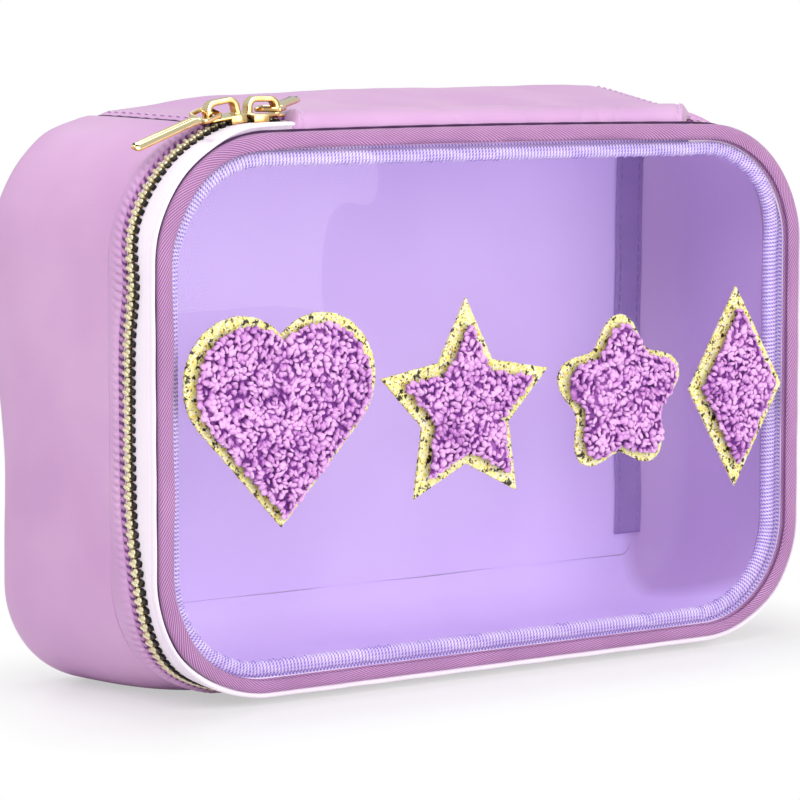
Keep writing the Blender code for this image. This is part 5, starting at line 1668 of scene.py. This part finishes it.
def pull_shells(origin, axes):
    """Pull: a squared eye, and a bar that thins towards the tip, with the groove where its facets meet
    painted dark as shade, and a plate on the tip painted dark.
    """
    outer = resample(rounded_loop(rectangle(-0.55, -3.9, 5.6, 3.9) * MM, 1.5 * MM, 5), 64)
    hole = resample(rounded_loop(rectangle(0.55, -3.0, 4.7, 3.0) * MM, 0.7 * MM, 5), 64)
    height, bevel = 0.6 * MM, 0.25 * MM
    inner_bevel, outer_bevel = shrunk(hole, -bevel), shrunk(outer, bevel)
    rings = [np.column_stack([loop, np.full(64, level)]) for loop, level in (
        (outer, -height + bevel), (outer, height - bevel), (outer_bevel, height), (inner_bevel, height),
        (hole, height - bevel), (hole, -height + bevel), (inner_bevel, -height), (outer_bevel, -height))]
    eye = shell(origin + np.stack(rings, 1) @ axes, wrap_rows=True)
    section = np.array([(-1, -0.4), (-1, 0.05), (-0.6, 0.5), (0.25, 0.62), (0.6, 0.5), (1, 0.05), (1, -0.4),
                        (0.7, -0.62), (-0.7, -0.62)])
    end = PULL_LENGTH - 0.55 * MM
    x = np.array([5.0 * MM, 5.5 * MM, 6.4 * MM, 7.4 * MM, end / 2, end - 1.5 * MM, end - 0.6 * MM, end])
    width = np.array([2.7, 2.6, 2.0, 1.8, 1.8, 1.85, 1.8, 1.4])[:, None] * MM
    thick = np.array([1.0, 1.2, 1.4, 1.45, 1.45, 1.45, 1.35, 0.95])[:, None] * MM
    bar_points = together(x[:, None], section[:, 0] * width, section[:, 1] * thick)
    groove_end = end - 2.2 * MM
    groove = plate_shell(np.array([(7.2 * MM, 0.42 * MM), (groove_end, 0.4 * MM), (groove_end, 0.6 * MM),
                                   (7.2 * MM, 0.66 * MM)]), 0.5 * MM, 0.905 * MM, 0.02 * MM, origin, axes)
    tip = plate_shell(np.array([(end - 0.9 * MM, -1.2 * MM), (end - 0.25 * MM, -0.9 * MM),
                                (end - 0.25 * MM, 0.95 * MM), (end - 0.9 * MM, 1.25 * MM)]),
                      0.3 * MM, 0.78 * MM, 0.05 * MM, origin, axes)
    bar = shell(origin + bar_points @ axes)
    # The eye and the bar take painted shade by facing; the groove and the tip plate take the painted dark.
    return [eye, bar, groove, tip], [painted_facing_shade(eye, axes[2]), painted_facing_shade(bar, axes[2]), 1.0, 0.95]


def make_sliders():
    """Both sliders with their bridges and pulls."""
    for letter, along, narrow_end in (("a", SLIDER_A_ALONG, 1), ("b", SLIDER_B_ALONG, -1)):
        origin, axes = slider_axes(along)
        forward, front, outwards = axes
        slider = f"slider_{letter}"
        plates = slider_shells(narrow_end, origin, axes)
        # Painted shade: bright where the metal faces outwards, darker at its sides and underneath.
        assembled(f"{slider}_plate", plates, slider, "pale_gold", slider, sharp=30,
                  hollow=[painted_facing_shade(part, outwards) for part in plates])
        strap = bridge_shell(origin, axes)
        assembled(f"{slider}_strap", [strap], slider, "pale_gold", f"{slider}_bridge", sharp=50,
                  hollow=[painted_facing_shade(strap, outwards)])
        if letter == "a":
            bar, upright = turned(forward, outwards, -PULL_A_DROP)
            across, upright = turned(front, upright, -PULL_A_ROLL)
        else:
            level, across = turned(-forward, -front, PULL_B_SWING)
            bar, upright = turned(level, outwards, PULL_B_LIFT)
        pivot = np.array(JOINTS[f"{slider}_pull_hinge"]["pos_m"])
        bars, hollow = pull_shells(pivot, np.stack([bar, across, upright]))
        assembled(f"{slider}_bar", bars, f"{slider}_pull", "pale_gold", f"{slider}_pull", sharp=25,
                  hollow=hollow)


def backdrop_material():
    """Pale floor that turns plain white away from the case, as the surroundings are, and keeps its shadow."""
    made, graph, shader = new_material("white_floor")
    dust = graph.spread(graph.noise(9.0, 3.0), 0.3, 0.7)
    fill(graph, shader, Base_Color=graph.blend(dust, (0.9, 0.9, 0.9), (0.93, 0.93, 0.93)), Roughness=0.22,
         Specular_IOR_Level=0.35)
    folded = graph.vector("ABSOLUTE", graph.spot())
    past = graph.vector("SUBTRACT", folded, (CASE_WIDTH / 2, CASE_DEPTH / 2, 0))
    away = graph.vector("LENGTH", graph.vector("MAXIMUM", past, (0, 0, 0)))
    share = graph.math("MULTIPLY", graph.spread(away, 0.0, 0.045, 0.5, 1.0), graph.seen())
    white = graph.add("ShaderNodeEmission", {"Color": (1, 1, 1, 1), "Strength": 1.0})
    graph.surface(share, shader.outputs[0], white.outputs[0])
    return made


def add_lamp(name, place_at, target, size, power, tint=(1, 1, 1)):
    """Square soft light aimed at a point."""
    lamp = bpy.data.lights.new(name, "AREA")
    lamp.shape, lamp.size, lamp.energy, lamp.color = "SQUARE", size, power, tint
    holder = bpy.data.objects.new(name, lamp)
    holder.location = place_at
    holder.rotation_euler = (Vector(target) - Vector(place_at)).to_track_quat("-Z", "Y").to_euler()
    bpy.context.scene.collection.objects.link(holder)
    return holder


CAMERA_TURN = math.radians(36.291)
CAMERA_CLIMB = math.radians(5.723)
CAMERA_DISTANCE = 1.0
CAMERA_AIM_TURN = CAMERA_TURN - math.radians(0.357)
CAMERA_AIM_CLIMB = CAMERA_CLIMB + math.radians(0.174)
FOCAL_LENGTH_PIXELS = 3577.5
PICTURE_PIXELS = 800


def direction(turn, climb):
    """Unit vector to the viewer: (-sin turn cos climb, -cos turn cos climb, sin climb)."""
    return Vector((-math.sin(turn) * math.cos(climb), -math.cos(turn) * math.cos(climb), math.sin(climb)))


def add_camera():
    """Camera at the photograph's angle, from a turn round the case and a climb above its middle."""
    camera = bpy.data.cameras.new("studio_camera")
    camera.sensor_width = 36
    camera.lens = FOCAL_LENGTH_PIXELS * camera.sensor_width / PICTURE_PIXELS
    camera.clip_start = 0.05
    holder = bpy.data.objects.new("studio_camera", camera)
    holder.location = Vector((0, 3 * MM, 75.75 * MM)) + CAMERA_DISTANCE * direction(CAMERA_TURN, CAMERA_CLIMB)
    forward = -direction(CAMERA_AIM_TURN, CAMERA_AIM_CLIMB)
    holder.rotation_euler = forward.to_track_quat("-Z", "Y").to_euler()
    bpy.context.scene.collection.objects.link(holder)
    bpy.context.scene.camera = holder


def make_world():
    """White surroundings for what the camera and the clear film see, and a softer light on the case."""
    world = bpy.data.worlds.new("studio_white")
    world.use_nodes = True
    graph = Graph(world.node_tree)
    world.node_tree.nodes.clear()
    light, white = (graph.add("ShaderNodeBackground", {"Color": (1, 1, 1, 1), "Strength": strength})
                    for strength in (0.56, 1.0))
    both = graph.add("ShaderNodeMixShader", {0: graph.seen(), 1: light.outputs[0], 2: white.outputs[0]})
    graph.add("ShaderNodeOutputWorld", {"Surface": both.outputs[0]})
    bpy.context.scene.world = world


def make_stage():
    """Pale floor, plain soft light, white surroundings and the camera."""
    mesh = bpy.data.meshes.new("studio_floor")
    mesh.from_pydata([(-3, -3, 0), (3, -3, 0), (3, 3, 0), (-3, 3, 0)], [], [(0, 1, 2, 3)])
    floor = bpy.data.objects.new("studio_floor", mesh)
    floor.location.z = -0.0002
    mesh.materials.append(backdrop_material())
    bpy.context.scene.collection.objects.link(floor)
    target = (0, 0, 0.08)
    add_lamp("key_light", (-0.7, -0.75, 0.95), target, 0.7, 6.6)
    add_lamp("front_light", (0.3, -1.15, 0.3), target, 0.8, 6)
    add_lamp("top_light", (-0.1, 0.25, 1.1), target, 0.8, 3.2)
    make_world()
    add_camera()
    view = bpy.context.scene.view_settings
    view.view_transform = "Standard"


class ZIPCASE_OT_walls(bpy.types.Operator):
    """Make the gusset, the top panel, the back panel and the thread of the top seams"""

    bl_idname = "zip_case.walls"
    bl_label = "Walls"

    def execute(self, context):
        make_walls()
        return {"FINISHED"}


class ZIPCASE_OT_padding(bpy.types.Operator):
    """Make the foam ring in the walls and the foam board in the back"""

    bl_idname = "zip_case.padding"
    bl_label = "Padding"

    def execute(self, context):
        make_padding()
        return {"FINISHED"}


class ZIPCASE_OT_lining(bpy.types.Operator):
    """Make the lining of the walls and the back, with its taped seams"""

    bl_idname = "zip_case.lining"
    bl_label = "Lining"

    def execute(self, context):
        make_lining()
        return {"FINISHED"}


class ZIPCASE_OT_zipper(bpy.types.Operator):
    """Make the tapes, teeth and stops of the zipper and the hem beside it"""

    bl_idname = "zip_case.zipper"
    bl_label = "Zipper"

    def execute(self, context):
        make_zipper()
        return {"FINISHED"}


class ZIPCASE_OT_hinge(bpy.types.Operator):
    """Make the folded strip that the lid swings on"""

    bl_idname = "zip_case.hinge"
    bl_label = "Hinge Strip"

    def execute(self, context):
        make_hinge()
        return {"FINISHED"}


class ZIPCASE_OT_lid(bpy.types.Operator):
    """Make the lid's binding, braid and clear window"""

    bl_idname = "zip_case.lid"
    bl_label = "Lid"

    def execute(self, context):
        make_lid()
        return {"FINISHED"}


class ZIPCASE_OT_patches(bpy.types.Operator):
    """Make the four patches on the window"""

    bl_idname = "zip_case.patches"
    bl_label = "Patches"

    def execute(self, context):
        make_patches()
        return {"FINISHED"}


class ZIPCASE_OT_sliders(bpy.types.Operator):
    """Make both sliders with their bridges and pulls"""

    bl_idname = "zip_case.sliders"
    bl_label = "Sliders"

    def execute(self, context):
        make_sliders()
        return {"FINISHED"}


class ZIPCASE_OT_stage(bpy.types.Operator):
    """Make the floor, the lamps, the surroundings and the camera"""

    bl_idname = "zip_case.stage"
    bl_label = "Stage"

    def execute(self, context):
        make_stage()
        return {"FINISHED"}


OPERATORS = (ZIPCASE_OT_walls, ZIPCASE_OT_padding, ZIPCASE_OT_lining, ZIPCASE_OT_zipper, ZIPCASE_OT_hinge,
             ZIPCASE_OT_lid, ZIPCASE_OT_patches, ZIPCASE_OT_sliders, ZIPCASE_OT_stage)


class ZIPCASE_PT_pieces(bpy.types.Panel):
    """Lists the pieces of the case, its colours and its sizes."""

    bl_idname = "ZIPCASE_PT_pieces"
    bl_label = "Zip Case"
    bl_space_type = "VIEW_3D"
    bl_region_type = "UI"
    bl_category = "Zip Case"

    def draw(self, context):
        column = self.layout.column(align=True)
        for operator in OPERATORS:
            column.operator(operator.bl_idname)
        for group in (context.scene.zip_case_colours, context.scene.zip_case_sizes):
            box = self.layout.box()
            for name in group.__annotations__:
                box.prop(group, name)


CLASSES = (ZipCaseColours, ZipCaseSizes, *OPERATORS, ZIPCASE_PT_pieces)


def register():
    for kind in CLASSES:
        bpy.utils.register_class(kind)
    bpy.types.Scene.zip_case_colours = bpy.props.PointerProperty(type=ZipCaseColours)
    bpy.types.Scene.zip_case_sizes = bpy.props.PointerProperty(type=ZipCaseSizes)


def unregister():
    del bpy.types.Scene.zip_case_sizes
    del bpy.types.Scene.zip_case_colours
    for kind in reversed(CLASSES):
        bpy.utils.unregister_class(kind)


def main():
    """Make every piece in order."""
    register()
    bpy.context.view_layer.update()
    for operator in OPERATORS:
        group, name = operator.bl_idname.split(".")
        getattr(getattr(bpy.ops, group), name)()


if __name__ == "__main__":
    main()
